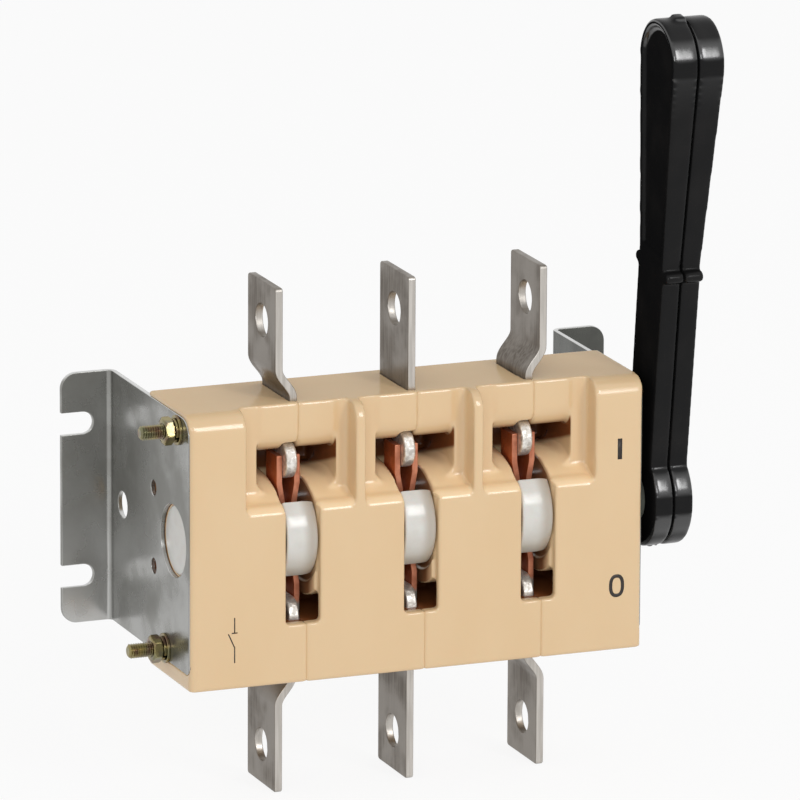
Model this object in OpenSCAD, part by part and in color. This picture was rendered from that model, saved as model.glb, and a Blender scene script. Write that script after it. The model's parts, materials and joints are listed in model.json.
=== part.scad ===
// Three-pole knife switch disconnector with a side handle, on two sheet-steel brackets.
// +X runs along the three poles, -Y is the front, +Z is up. The origin lies on the wall face of the
// left bracket's flange, level with the shaft. Every module below is drawn with x = 0 at the middle
// pole, depth measured backwards from the housing's front face, and z = 0 at the shaft.

/* [Poles] */
// Distance between neighbouring poles
pole_pitch = 50; // [46:1:60]
// Thickness of a terminal bar
bar_t = 3.2; // [2:0.1:4]
// Width of a terminal bar, front to back
bar_w = 31; // [24:1:32]
// Height of the top terminals' ends above the shaft
bar_top = 99.8; // [92:0.2:120]
// Depth of the bottom terminals' ends below the shaft
bar_bottom = 106; // [95:1:125]
// Sideways step of the outer terminals, away from the middle pole
bar_step = 6; // [0:0.5:8]
// Diameter of the terminal bolt holes
bar_hole_d = 13.5; // [9:0.5:14]
// Distance from a terminal's end to its bolt hole
bar_hole_edge = 16; // [12:0.5:18]

/* [Housing] */
// Width of the housing along the poles
housing_w = 192.4; // [184:0.2:220]
// Depth of the housing, front to back
housing_d = 48.4; // [48:0.2:54]
// Height of the housing above the shaft
housing_up = 54; // [52:0.5:60]
// Height of the housing below the shaft
housing_down = 57.5; // [54:0.5:64]
// Depth of the shaft behind the front face
shaft_depth = 19.5; // [19:0.5:22]
// Width of the pocket in front of a pole
pocket_w = 45.8; // [43:0.1:46.5]
// Depth of the pocket
pocket_d = 9.9; // [8:0.1:10]
// Width of a pole's arcing chamber
chamber_w = 33.2; // [30:0.1:36]
// Width of the slot in the front wall
slot_w = 14.3; // [13.5:0.1:15]
// Depth of the slot's floor below the shaft
slot_down = 33.5; // [31:0.1:36]
// Thickness of the front wall beside the slot
front_wall = 3.5; // [2.5:0.5:5]

/* [Knives] */
// Thickness of a knife
knife_t = 2.5; // [2:0.1:2.7]
// Width of a knife
knife_w = 12; // [8:1:14]
// Length of a knife's arm, from the shaft's axis to its tip
knife_reach = 32; // [29:0.5:33]
// Thickness of a fixed contact's head
head_t = 4.8; // [4:0.1:5]
// Radius of a drum's shield
drum_r = 19.9; // [18:0.1:20]
// Thickness of a drum's shield
shield_t = 3.4; // [2:0.2:4]

/* [Brackets] */
// Thickness of the bracket sheet
sheet_t = 2; // [1.5:0.5:3]
// Distance from the housing's back to the wall
standoff = 45.1; // [30:0.1:70]
// Width of a flange beyond the side plate
flange_w = 21; // [17:1:30]
// Half the distance between the two mounting notches of a flange
notch_rise = 31.5; // [25:0.5:38]
// Width of a mounting notch
notch_w = 9; // [6:0.5:11]

/* [Tie bolts] */
// Diameter of a tie bolt
rod_d = 6; // [5:1:6]
// Length of a tie bolt beyond the left bracket
rod_end = 16; // [10:0.5:22]
// Width of a nut across its flats
nut_flats = 10; // [8:1:11]

/* [Handle] */
// Length of the handle from the shaft's axis to its top
handle_l = 201; // [150:1:230]
// Forward lean of the handle when the switch is closed, in degrees
handle_lean = 7; // [0:1:12]
// Gap between the housing and the handle
handle_gap = 5.1; // [5.1:0.1:9]

/* [Hidden] */
$fn = 64;

// Clearances
part_gap = 0.1;
knife_gap = 0.05;
bearing_gap = 0.05;
running_gap = 0.3;
drum_gap = 1.1;
swing_gap = 1.4;

// Places along the poles
side = housing_w / 2;
flange_mid = side + flange_w / 2;
front_y = -(housing_d + standoff);

// Places across a pole, measured from its contact heads
pocket_shift = 0.6;
chamber_shift = 2.2;
slot_shift = 1.45;
swing_w = 12.7;
swing_shift = 0.65;
drum_w = 13.15;
drum_shift = 1.2;
seam_x = 2.95;
pocket_x = [pocket_shift - pocket_w / 2, pocket_shift + pocket_w / 2];
chamber_x = [chamber_shift - chamber_w / 2, chamber_shift + chamber_w / 2];
slot_x = [slot_shift - slot_w / 2, slot_shift + slot_w / 2];
swing_x = [swing_shift - swing_w / 2, swing_shift + swing_w / 2];
drum_x = [drum_shift - drum_w / 2, drum_shift + drum_w / 2];

// Housing profile
top_round = 8;
edge_round = 2.5;
back_wall = 5.5;
pocket_round = 2;
corner_step = 22.5;
rib_corner = 1.2;
end_corner = 4.2;
end_widening = 2;
barrel_d = 9.4;
barrel_floor = 34;
barrel_r = 9.5;
barrel_end_r = 3.5;
barrel_side_r = 1.3;
boss_r = 26.4;

// Shroud: an arc behind the front face, which it meets at the ledge
shroud_r = 46;
shroud_top = 23.2;
shroud_depth = 31;
shroud_z = shroud_top - shroud_r;
ledge_z = shroud_z + sqrt(pow(shroud_r, 2) - pow(shroud_depth, 2));

// Shaft and drums
journal_r = 10;
link_peg = 1.5;
link_w = 10;
knife_pinch = 1.2;
shield_up = 14.1;
shield_down = 15.7;
drum_core_rise = 8;
drum_edge_r = 3.2;
cap_r = 14;
cap_t = 4;

// Tie bolts, as (depth, height)
upper_rod_drop = 7.7;
lower_rod_rise = 11.5;
upper_rod = [14, housing_up - upper_rod_drop];
lower_rod = [28, lower_rod_rise - housing_down];
bolt_head_t = 3.5;
washer_t = 1.2;
washer_r = 6;
spring_t = 1.4;
spring_r = 4.9;
nut_t = 4;
thread_gap = 0.05;

// Terminals and their contact heads
bar_front = 13;
bar_shift = 1.9;
upper_tip = 21.6;
lower_tip = 25.5;
knife_bend_l = 7.5;
knife_bend_end = min(upper_tip, lower_tip) - 1.1;
knife_bend = [knife_bend_end - knife_bend_l, knife_bend_end];
upper_head_front = 11.5;
lower_head_front = 9.5;
head_back = 31;
head_h = 15.2;
head_notch = 0.8;
upper_neck = 20.5;
neck_top = 1;
rod_insulation = 3.5;
jog_start = 2.5;
jog_h = 9;

// Brackets
plate_front = 1.5;
plate_up = 52.4;
plate_down = 51;
bend_r = 2;
flange_corner = 6.5;
notch_depth = 13.5;
plate_corner = 3.5;
plate_top_corner = 8;
drum_window_r = 14.6;
wire_hole_d = 11;
wire_hole_depth = 78;
small_hole_d = 6.4;
small_hole_depth = 42;
small_hole_rise = 16;

// Handle
hub_r = 20.5;
hub_flat = 15.5;
arm_t = 16.6;
arm_low_w = 24;
arm_w = 26;
neck_z = 97.5;
grip_low_w = 24;
grip_high_w = 35;
grip_high_t = 22.4;
handle_x = side + handle_gap;
spindle_l = 11;
recess_rim = 3;
recess_low = 105;
recess_d = 2;
seam_w = 0.8;
seam_d = 0.7;
bead_r = 2.4;
bead_out = 3.6;
hub_stud_x = 5;
top_stud_x = 3;
stud_w = 5;
stud_r = 3;
stud_h = 4;
stud_out = 1.6;
screw_r = 2.5;
screw_head_r = 5;
screw_head_t = 3;

// Moves a module from the poles' frame to the part's frame.
module placed() {
  translate([flange_mid, 0, 0]) children();
}

// Extrudes a (depth, height) outline along the poles from x0 to x1.
module along_poles(x0, x1) {
  translate([x0, front_y, 0]) rotate([90, 0, 90]) linear_extrude(height = x1 - x0) children();
}

// A round rod or hole along the poles at a (depth, height) place.
module round_along(x0, x1, r, place, sides = 64) {
  translate([x0, front_y + place[0], place[1]]) rotate([0, 90, 0]) cylinder(h = x1 - x0, r = r, $fn = sides);
}

// Side outline of the housing, with its rounded top front edge.
module housing_outline() {
  difference() {
    translate([0, -housing_down]) square([housing_d, housing_down + housing_up]);
    translate([-1, housing_up - top_round]) square([top_round + 1, top_round + 1]);
  }
  translate([top_round, housing_up - top_round]) circle(r = top_round);
}

// Extrudes an (x, depth) outline upwards from z0 to z1.
module upwards(z0, z1) {
  translate([0, front_y, z0]) linear_extrude(height = z1 - z0) children();
}

// Extrudes an (x, height) outline backwards between two depths.
module backwards(depth0, depth1) {
  translate([0, front_y + depth1, 0]) rotate([90, 0, 0]) linear_extrude(height = depth1 - depth0) children();
}

// A rectangle with its corner at the origin and all four corners rounded.
module rounded_rect(w, d, r) {
  translate([0, r]) square([w, d - 2 * r]);
  translate([r, 0]) square([w - 2 * r, d]);
  for (x = [r, w - r], y = [r, d - r]) translate([x, y]) circle(r = r);
}

// Side outline of the space above the shroud.
module above_shroud() {
  difference() {
    translate([-1, ledge_z]) square([housing_d, housing_up]);
    translate([shroud_depth, shroud_z]) circle(r = shroud_r, $fn = 180);
  }
}

// Points of a quarter circle about (x, y), from one angle on, in short flats.
function quarter(x, y, r, from) = [
  for (a = [from : corner_step : from + 90]) [x + r * cos(a), y + r * sin(a)]
];

// Top outline of a pocket, open in front, with its two back corners filled.
module pocket_plan(w) {
  back = pocket_d - pocket_round;
  polygon(concat(
    [[0, -1], [w, -1]],
    quarter(w - pocket_round, back, pocket_round, 0),
    quarter(pocket_round, back, pocket_round, 90)
  ));
}

// Front outline of a pocket, open on top, with its two lower corners filled.
module pocket_front(w, corner) {
  polygon(concat(
    [[w, ledge_z + housing_up], [0, ledge_z + housing_up]],
    quarter(rib_corner, ledge_z + rib_corner, rib_corner, 180),
    quarter(w - corner, ledge_z + corner, corner, 270)
  ));
}

// The pocket in front of a pole, drawn by its side, top and front outlines.
module pocket(x, widening, corner) {
  x0 = x + pocket_x[0];
  w = pocket_w + widening;
  intersection() {
    along_poles(x0 - 1, x0 + w + 1) above_shroud();
    upwards(0, housing_up + 1) translate([x0, 0]) pocket_plan(w);
    backwards(-2, pocket_d + 1) translate([x0, 0]) pocket_front(w, corner);
  }
}

// Side outline of the barrel over a pole's upper contact head.
module barrel_outline() {
  translate([barrel_d + barrel_r, barrel_floor]) square([housing_d, housing_up]);
  translate([barrel_d, barrel_floor + barrel_r]) square([housing_d, housing_up]);
  translate([barrel_d + barrel_r, barrel_floor + barrel_r]) circle(r = barrel_r);
}

// The barrel with its ends rounded, drawn by its side, top and front outlines.
module barrel(x) {
  x0 = x + chamber_x[0];
  intersection() {
    along_poles(x0, x0 + chamber_w) barrel_outline();
    upwards(0, housing_up + 1) translate([x0, barrel_d]) rounded_rect(chamber_w, housing_d, barrel_side_r);
    backwards(0, housing_d) translate([x0, barrel_floor]) rounded_rect(chamber_w, housing_up, barrel_end_r);
  }
}

// The pocket and, behind it, the chamber round a pole's upper contact head, less the barrel.
module upper_opening(x, widening, corner) {
  difference() {
    union() {
      pocket(x, widening, corner);
      along_poles(x + chamber_x[0], x + chamber_x[1]) intersection() {
        above_shroud();
        square([housing_d - back_wall, housing_up + 1]);
      }
    }
    barrel(x);
  }
}

// The chamber round a pole's lower contact head, closed in front but for the slot.
module lower_chamber(x) {
  along_poles(x + chamber_x[0], x + chamber_x[1]) difference() {
    translate([front_wall, -slot_down]) square([2 * (shaft_depth - front_wall), slot_down]);
    translate([shaft_depth, 0]) circle(r = boss_r);
  }
}

// The slot in the front wall, in front of a drum.
module front_slot(x) {
  backwards(-1, front_wall) translate([x + slot_x[0], -slot_down]) square([slot_w, slot_down + ledge_z + 2]);
}

// The space that the knives swing through, open at the back below the shaft, and the drum's own space.
module swing_space(x) {
  sweep_r = knife_reach + swing_gap;
  along_poles(x + swing_x[0], x + swing_x[1]) translate([shaft_depth, 0]) intersection() {
    circle(r = sweep_r);
    union() {
      translate([-sweep_r, -sweep_r]) square([sweep_r + housing_d - back_wall - shaft_depth, sweep_r * 2]);
      translate([-sweep_r, -sweep_r]) square([sweep_r * 2, sweep_r + knife_w / 2 + swing_gap]);
    }
  }
  round_along(x + drum_x[0] - running_gap, x + drum_x[1] + running_gap, drum_r + drum_gap, [shaft_depth, 0]);
}

// Side outline of a terminal, drawn upwards: contact head, neck inside the housing, and bar.
module terminal_outline(end_z, tip, head_front, neck_front, rod) {
  neck_low = tip + head_h / 2;
  difference() {
    union() {
      translate([bar_front, housing_up - neck_top]) square([bar_w, end_z - housing_up + neck_top]);
      translate([neck_front, neck_low]) square([bar_front + bar_w - neck_front, housing_up - neck_low]);
      head_outline(tip, head_front);
    }
    translate([rod[0], abs(rod[1])]) circle(r = rod_d / 2 + rod_insulation);
  }
}

// Side outline of a contact head, with a half-round nose.
module head_outline(tip, head_front) {
  translate([head_front + head_h / 2, tip]) square([head_back - head_front - head_h / 2, head_h]);
  translate([head_front + head_h / 2, tip + head_h / 2]) circle(r = head_h / 2);
}

// Front outline of a terminal's neck and bar, which steps sideways by shift. A slot for it has
// spare room and starts nearer to the shaft, inside the space that the knives swing through.
module bar_front_outline(end_z, edge_z, shift, spare) {
  right = bar_shift + bar_t / 2 + spare;
  left = bar_shift - bar_t / 2 - spare;
  low = spare > 0 ? knife_reach : knife_reach + swing_gap;
  jog_low = edge_z + jog_start;
  jog_high = jog_low + jog_h;
  polygon([
    [left, low], [right, low], [right, jog_low], [right + shift, jog_high],
    [right + shift, end_z], [left + shift, end_z], [left + shift, jog_high], [left, jog_low]
  ]);
}

// Turns a top terminal into a bottom one where up is -1.
module upright(up) {
  if (up > 0) children();
  else mirror([0, 0, 1]) children();
}

// A terminal of one pole (-1, 0 or 1), in the top row (up = 1) or the bottom row (up = -1).
module terminal(pole, up, spare = 0) {
  x = pole * pole_pitch;
  end_z = up > 0 ? bar_top : bar_bottom;
  edge_z = up > 0 ? housing_up : housing_down;
  tip = up > 0 ? upper_tip : lower_tip;
  head_front = up > 0 ? upper_head_front : lower_head_front;
  rod = up > 0 ? upper_rod : lower_rod;
  neck_front = up > 0 ? upper_neck : bar_front;
  difference() {
    upright(up) union() {
      intersection() {
        along_poles(x - pole_pitch / 2, x + pole_pitch / 2)
          terminal_outline(end_z, tip, head_front, neck_front, rod);
        translate([x, 0, 0]) rotate([90, 0, 0]) linear_extrude(height = housing_d + standoff)
          bar_front_outline(end_z, edge_z, pole * bar_step, spare);
      }
      along_poles(x - head_t / 2 - spare, x + head_t / 2 + spare) head_outline(tip, head_front);
    }
    round_along(x - pole_pitch / 2, x + pole_pitch / 2, bar_hole_d / 2,
      [bar_front + bar_w / 2, up * (end_z - bar_hole_edge)]);
  }
}

// The notch in the barrel round the top of a pole's upper contact head.
module contact_notch(x) {
  notch_x = head_t / 2 + head_notch;
  top_z = upper_tip + head_h + head_notch;
  along_poles(x - notch_x, x + notch_x)
    translate([0, barrel_floor - 1]) square([upper_neck, top_z - barrel_floor + 1]);
}

// One moulded shell of the housing, between two planes across the poles.
module shell(x0, x1) {
  placed() difference() {
    intersection() {
      along_poles(x0 + part_gap / 2, x1 - part_gap / 2) housing_outline();
      translate([-side, front_y, -housing_down - 1]) linear_extrude(height = housing_up + housing_down + 2)
        rounded_rect(housing_w, housing_d, edge_round);
    }
    for (pole = [-1, 0, 1]) {
      x = pole * pole_pitch;
      if (x + pole_pitch / 2 > x0 && x - pole_pitch / 2 < x1) {
        upper_opening(x, pole > 0 ? end_widening : 0, pole > 0 ? end_corner : rib_corner);
        lower_chamber(x);
        front_slot(x);
        swing_space(x);
        contact_notch(x);
        terminal(pole, 1, part_gap);
        terminal(pole, -1, part_gap);
      }
    }
    round_along(-side - 1, side + 1, rod_d / 2 + part_gap, upper_rod);
    round_along(-side - 1, side + 1, rod_d / 2 + part_gap, lower_rod);
    round_along(-side - 1, side + 1, journal_r + bearing_gap, [shaft_depth, 0]);
    round_along(-side - 1, -side + sheet_t + cap_t + part_gap, cap_r + bearing_gap, [shaft_depth, 0]);
    plate_pocket(-1);
    plate_pocket(1);
  }
}

// The shallow pocket in a shell's side that a bracket's plate lies in.
module plate_pocket(end) {
  x = end * (side - sheet_t / 2 + 0.5);
  along_poles(x - sheet_t / 2 - 0.5, x + sheet_t / 2 + 0.5) offset_plate(part_gap);
}

// Side outline of a bracket's plate, with a spare margin all round.
module offset_plate(spare) {
  y0 = plate_front - spare;
  z0 = -plate_down - spare;
  z1 = plate_up + spare;
  difference() {
    translate([y0, z0]) square([housing_d + standoff + 1, z1 - z0]);
    translate([y0 - 1, z0 - 1]) square([plate_corner + 1, plate_corner + 1]);
    translate([y0 - 1, z1 - plate_top_corner]) square([plate_top_corner + 1, plate_top_corner + 1]);
  }
  translate([y0 + plate_corner, z0 + plate_corner]) circle(r = plate_corner);
  translate([y0 + plate_top_corner, z1 - plate_top_corner]) circle(r = plate_top_corner);
}

module housing_left_end() color("burlywood") shell(-side, -pole_pitch + seam_x);
module housing_middle_left() color("burlywood") shell(-pole_pitch + seam_x, seam_x);
module housing_middle_right() color("burlywood") shell(seam_x, pole_pitch + seam_x);
module housing_right_end() color("burlywood") shell(pole_pitch + seam_x, side);

module terminal_top(pole) color("silver") placed() terminal(pole, 1);
module terminal_bottom(pole) color("silver") placed() terminal(pole, -1);

// Left bracket: a side plate bent outwards into a flange with two open notches.
module bracket_solid() {
  outer_r = bend_r + sheet_t;
  height = plate_up + plate_down;
  intersection() {
    translate([0, 0, -plate_down]) linear_extrude(height = height) difference() {
      union() {
        translate([-side, front_y]) square([sheet_t, housing_d + standoff - outer_r]);
        translate([-side - flange_w, -sheet_t]) square([flange_w - bend_r, sheet_t]);
        intersection() {
          translate([-side - bend_r, -outer_r]) difference() {
            circle(r = outer_r);
            circle(r = bend_r);
          }
          translate([-side - bend_r, -outer_r]) square(outer_r);
        }
      }
    }
    along_poles(-side - flange_w, -side + sheet_t) offset_plate(0);
    translate([0, 0, 0]) rotate([90, 0, 0]) linear_extrude(height = housing_d + standoff) flange_outline();
  }
}

// Front outline of the left bracket, with rounded outer corners and open notches.
module flange_outline() {
  x0 = -side - flange_w;
  r = flange_corner;
  difference() {
    translate([x0, -plate_down]) square([flange_w + sheet_t, plate_up + plate_down]);
    translate([x0 - 1, -plate_down - 1]) square(r + 1);
    translate([x0 - 1, plate_up - r]) square(r + 1);
    for (z = [-notch_rise, notch_rise]) {
      translate([x0 - 1, z - notch_w / 2]) square([notch_depth - notch_w / 2 + 1, notch_w]);
      translate([x0 + notch_depth - notch_w / 2, z]) circle(d = notch_w);
    }
  }
  translate([x0 + r, -plate_down + r]) circle(r = r);
  translate([x0 + r, plate_up - r]) circle(r = r);
}

// A bracket with its holes. end is -1 on the left and 1 on the right.
module bracket(end) {
  placed() mirror([end > 0 ? 1 : 0, 0, 0]) difference() {
    bracket_solid();
    round_along(-side - 1, -side + sheet_t + 1, drum_window_r, [shaft_depth, 0]);
    round_along(-side - 1, -side + sheet_t + 1, wire_hole_d / 2, [wire_hole_depth, 0]);
    for (z = [-small_hole_rise, small_hole_rise])
      round_along(-side - 1, -side + sheet_t + 1, small_hole_d / 2, [small_hole_depth, z]);
    round_along(-side - 1, -side + sheet_t + 1, rod_d / 2 + part_gap, upper_rod);
    round_along(-side - 1, -side + sheet_t + 1, rod_d / 2 + part_gap, lower_rod);
  }
}

module bracket_left() color("silver") bracket(-1);
module bracket_right() color("silver") bracket(1);

// A long bolt through all the shells, with its head on the right bracket.
module tie_bolt(rod) {
  color("goldenrod") placed() {
    round_along(-side - rod_end, side, rod_d / 2, rod);
    round_along(side, side + bolt_head_t, nut_flats / 2 / cos(30), rod, 6);
  }
}

// A ring on the left end of a tie bolt, between two distances from the bracket.
module ring(rod, near, far, r, sides = 64) {
  color("goldenrod") placed() difference() {
    round_along(-side - far, -side - near, r, rod, sides);
    round_along(-side - far - 1, -side - near + 1, rod_d / 2 + thread_gap, rod);
  }
}

module washer(rod) ring(rod, 0, washer_t, washer_r);
module spring_washer(rod) ring(rod, washer_t, washer_t + spring_t, spring_r);
module nut(rod) ring(rod, washer_t + spring_t, washer_t + spring_t + nut_t, nut_flats / 2 / cos(30), 6);

// Front outline of a knife on the pole's right side, mirrored top to bottom.
module knife_outline() {
  near = knife_pinch;
  wide = head_t / 2 + knife_gap;
  low = knife_bend[0];
  high = knife_bend[1];
  polygon([
    [near, -low], [near, low], [wide, high], [wide, knife_reach],
    [wide + knife_t, knife_reach], [wide + knife_t, high], [near + knife_t, low],
    [near + knife_t, -low], [wide + knife_t, -high], [wide + knife_t, -knife_reach],
    [wide, -knife_reach], [wide, -high]
  ]);
}

// A knife beside the contact heads of a pole, on its left (hand = -1) or right (hand = 1).
module knife_solid(pole, hand) {
  translate([pole * pole_pitch, front_y + shaft_depth + knife_w / 2, 0]) rotate([90, 0, 0])
    linear_extrude(height = knife_w) mirror([hand < 0 ? 1 : 0, 0]) knife_outline();
}

module knife(pole, hand) color("peru") placed() knife_solid(pole, hand);

// Side outline of a drum: a core that holds the knives and a curved shield in front.
module drum_outline() {
  intersection() {
    circle(r = drum_r);
    union() {
      translate([-drum_r, -drum_core_rise]) square([drum_r * 2, drum_core_rise * 2]);
      difference() {
        translate([-drum_r, -shield_down]) square([drum_r, shield_down + shield_up]);
        circle(r = drum_r - shield_t);
      }
    }
  }
}

// Half of a drum's cross-section through its axis, with rounded rims.
module drum_rim() {
  w = drum_x[1] - drum_x[0];
  translate([-drum_edge_r, 0]) intersection() {
    rounded_rect(drum_r + drum_edge_r, w, drum_edge_r);
    translate([drum_edge_r, 0]) square([drum_r, w]);
  }
}

// A moulded drum, cut out for its two knives and for the pegs of the shaft.
module drum(pole) {
  x = pole * pole_pitch;
  color("whitesmoke") placed() difference() {
    intersection() {
      along_poles(x + drum_x[0], x + drum_x[1]) translate([shaft_depth, 0]) drum_outline();
      translate([x + drum_x[0], front_y + shaft_depth, 0]) rotate([0, 90, 0]) rotate_extrude() drum_rim();
    }
    knife_solid(pole, -1);
    knife_solid(pole, 1);
    for (end = drum_x) translate([x + end, front_y + shaft_depth, 0])
      cube([link_peg * 2, link_w, link_w], center = true);
  }
}

// A round journal along the poles with a square peg at each end that asks for one.
module journal(x0, x1, peg0, peg1) {
  round_along(x0, x1, journal_r, [shaft_depth, 0]);
  along_poles(x0 - peg0, x1 + peg1) translate([shaft_depth, 0]) square(link_w, center = true);
}

module shaft_link(x0, x1) color("whitesmoke") placed() journal(x0, x1, link_peg, link_peg);
module shaft_link_left() shaft_link(-pole_pitch + drum_x[1], drum_x[0]);
module shaft_link_right() shaft_link(drum_x[1], pole_pitch + drum_x[0]);

module shaft_end_left() color("whitesmoke") placed() {
  journal(-side + sheet_t, -pole_pitch + drum_x[0], 0, link_peg);
  round_along(-side + sheet_t, -side + sheet_t + cap_t, cap_r, [shaft_depth, 0]);
}

module shaft_end_right() color("gray") placed() {
  journal(pole_pitch + drum_x[1], handle_x, link_peg, spindle_l);
}

// Runs its children in the handle's own frame: the shaft at the origin, the grip along +Z.
module along_handle() {
  translate([handle_x, front_y + shaft_depth, 0]) rotate([handle_lean, 0, 0]) children();
}

// Extrudes a (depth, height) outline of the handle across its thickness.
module handle_slab(x0, x1) {
  translate([x0, 0, 0]) rotate([90, 0, 90]) linear_extrude(height = x1 - x0) children();
}

// Side outline of the hub, flat on top, and of the arm, all drawn smaller by an inset.
module arm_outline(inset) {
  intersection() {
    circle(r = hub_r - inset);
    translate([-hub_r, -hub_r]) square([hub_r * 2, hub_r + hub_flat - inset]);
  }
  low = arm_low_w / 2 - inset;
  high = arm_w / 2 - inset;
  polygon([[-low, 0], [low, 0], [high, neck_z], [-high, neck_z]]);
}

// Side outline of the grip: a taper that ends in a half circle, drawn smaller by an inset.
module grip_outline(inset, low_z) {
  top_r = grip_high_w / 2;
  low = grip_low_w / 2 - inset;
  high = top_r - inset;
  polygon([[-low, low_z], [low, low_z], [high, handle_l - top_r], [-high, handle_l - top_r]]);
  translate([0, handle_l - top_r]) circle(r = high);
}

// The grip, which tapers both ways.
module grip() {
  intersection() {
    handle_slab(-arm_t, arm_t * 2) grip_outline(0, neck_z);
    translate([arm_t / 2, grip_high_w, 0]) rotate([90, 0, 0]) linear_extrude(height = grip_high_w * 2)
      grip_front(0);
  }
}

// Front outline of the grip, drawn smaller by an inset on both sides.
module grip_front(inset) {
  low = arm_t / 2 - inset;
  high = grip_high_t / 2 - inset;
  high_z = handle_l - grip_high_w / 2;
  polygon([
    [-low, 0], [low, 0], [low, neck_z], [high, high_z], [high, handle_l + 1],
    [-high, handle_l + 1], [-high, high_z], [-low, neck_z]
  ]);
}

// The finger recesses in both faces of the grip.
module grip_recesses() {
  difference() {
    handle_slab(-arm_t, arm_t * 2) intersection() {
      grip_outline(recess_rim, neck_z);
      translate([-grip_high_w, recess_low]) square([grip_high_w * 2, handle_l]);
    }
    translate([arm_t / 2, grip_high_w, 0]) rotate([90, 0, 0]) linear_extrude(height = grip_high_w * 2)
      grip_front(recess_d);
  }
}

// The groove along the joint of the handle's two halves.
module seam_groove() {
  difference() {
    handle_slab((arm_t - seam_w) / 2, (arm_t + seam_w) / 2)
      translate([-grip_high_w, -grip_high_w]) square([grip_high_w * 2, grip_high_w * 2 + handle_l]);
    handle_slab(0, arm_t) {
      arm_outline(seam_d);
      grip_outline(seam_d, neck_z);
    }
  }
}

// The bead across the neck, in front and behind.
module neck_bead() {
  reach = arm_w / 2 + bead_out - bead_r;
  handle_slab(0, arm_t) for (y = [-reach, reach]) translate([y, neck_z]) circle(r = bead_r);
}

// Small studs under the hub and on top of the grip.
module end_studs() {
  handle_slab(hub_stud_x, hub_stud_x + stud_w)
    translate([-stud_r, -hub_r - stud_out]) square([stud_r * 2, stud_h]);
  handle_slab(top_stud_x, top_stud_x + stud_w)
    translate([-stud_r, handle_l - stud_h + stud_out]) square([stud_r * 2, stud_h]);
}

module handle() color("black") placed() along_handle() difference() {
  union() {
    handle_slab(0, arm_t) arm_outline(0);
    grip();
    neck_bead();
    end_studs();
  }
  grip_recesses();
  seam_groove();
  translate([(spindle_l - part_gap) / 2, 0, 0]) rotate([-handle_lean, 0, 0])
    cube([spindle_l + part_gap * 3, link_w + part_gap * 2, link_w + part_gap * 2], center = true);
  rotate([0, 90, 0]) cylinder(h = arm_t + 1, r = screw_r + part_gap);
  translate([arm_t - screw_head_t, 0, 0]) rotate([0, 90, 0])
    cylinder(h = screw_head_t + 1, r = screw_head_r + part_gap);
}

// The screw that holds the handle on the shaft.
module handle_screw() color("dimgray") placed() along_handle() {
  translate([spindle_l, 0, 0]) rotate([0, 90, 0])
    cylinder(h = arm_t - spindle_l - screw_head_t, r = screw_r);
  translate([arm_t - screw_head_t, 0, 0]) rotate([0, 90, 0]) cylinder(h = screw_head_t, r = screw_head_r);
}

housing_left_end();
housing_middle_left();
housing_middle_right();
housing_right_end();
terminal_top(-1);  // terminal_top_left
terminal_top(0);  // terminal_top_middle
terminal_top(1);  // terminal_top_right
terminal_bottom(-1);  // terminal_bottom_left
terminal_bottom(0);  // terminal_bottom_middle
terminal_bottom(1);  // terminal_bottom_right
bracket_left();
bracket_right();
tie_bolt(upper_rod);  // tie_bolt_upper
tie_bolt(lower_rod);  // tie_bolt_lower
nut(upper_rod);  // nut_upper
nut(lower_rod);  // nut_lower
spring_washer(upper_rod);  // spring_washer_upper
spring_washer(lower_rod);  // spring_washer_lower
washer(upper_rod);  // washer_upper
washer(lower_rod);  // washer_lower
drum(-1);  // drum_left
drum(0);  // drum_middle
drum(1);  // drum_right
knife(-1, -1);  // knife_left_a
knife(-1, 1);  // knife_left_b
knife(0, -1);  // knife_middle_a
knife(0, 1);  // knife_middle_b
knife(1, -1);  // knife_right_a
knife(1, 1);  // knife_right_b
shaft_end_left();
shaft_link_left();
shaft_link_right();
shaft_end_right();
handle();
handle_screw();
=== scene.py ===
import json
import logging
import math
from dataclasses import dataclass
from enum import Enum
from functools import lru_cache
from typing import Callable, ClassVar, Optional, Sequence

import bmesh
import bpy
from mathutils import Matrix, Vector


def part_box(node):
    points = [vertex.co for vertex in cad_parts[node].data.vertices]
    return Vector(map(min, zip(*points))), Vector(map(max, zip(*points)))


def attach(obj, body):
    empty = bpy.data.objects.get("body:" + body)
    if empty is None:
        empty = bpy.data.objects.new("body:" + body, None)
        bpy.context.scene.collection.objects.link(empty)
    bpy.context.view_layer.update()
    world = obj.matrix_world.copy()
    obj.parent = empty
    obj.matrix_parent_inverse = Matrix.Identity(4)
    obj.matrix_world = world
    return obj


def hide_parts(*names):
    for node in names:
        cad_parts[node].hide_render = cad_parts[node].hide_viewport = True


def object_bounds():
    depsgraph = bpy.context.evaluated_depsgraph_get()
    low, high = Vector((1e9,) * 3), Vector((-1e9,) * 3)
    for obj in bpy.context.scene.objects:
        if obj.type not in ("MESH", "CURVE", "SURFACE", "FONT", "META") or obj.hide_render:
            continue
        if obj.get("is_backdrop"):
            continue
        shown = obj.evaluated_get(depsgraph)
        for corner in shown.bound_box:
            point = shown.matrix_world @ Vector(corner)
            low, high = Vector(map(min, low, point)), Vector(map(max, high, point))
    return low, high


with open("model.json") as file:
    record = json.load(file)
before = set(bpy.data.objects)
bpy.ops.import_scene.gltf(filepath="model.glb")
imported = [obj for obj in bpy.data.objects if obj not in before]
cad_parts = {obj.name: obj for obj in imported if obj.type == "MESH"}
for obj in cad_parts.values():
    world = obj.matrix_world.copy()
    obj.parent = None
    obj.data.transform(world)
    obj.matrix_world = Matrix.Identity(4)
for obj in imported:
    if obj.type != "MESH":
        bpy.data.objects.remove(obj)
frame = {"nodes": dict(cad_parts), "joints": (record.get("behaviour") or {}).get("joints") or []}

LOG = logging.getLogger("switch")
Colour = tuple[float, float, float]
Place = tuple[float, float, float]
Span = tuple[float, float]
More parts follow.
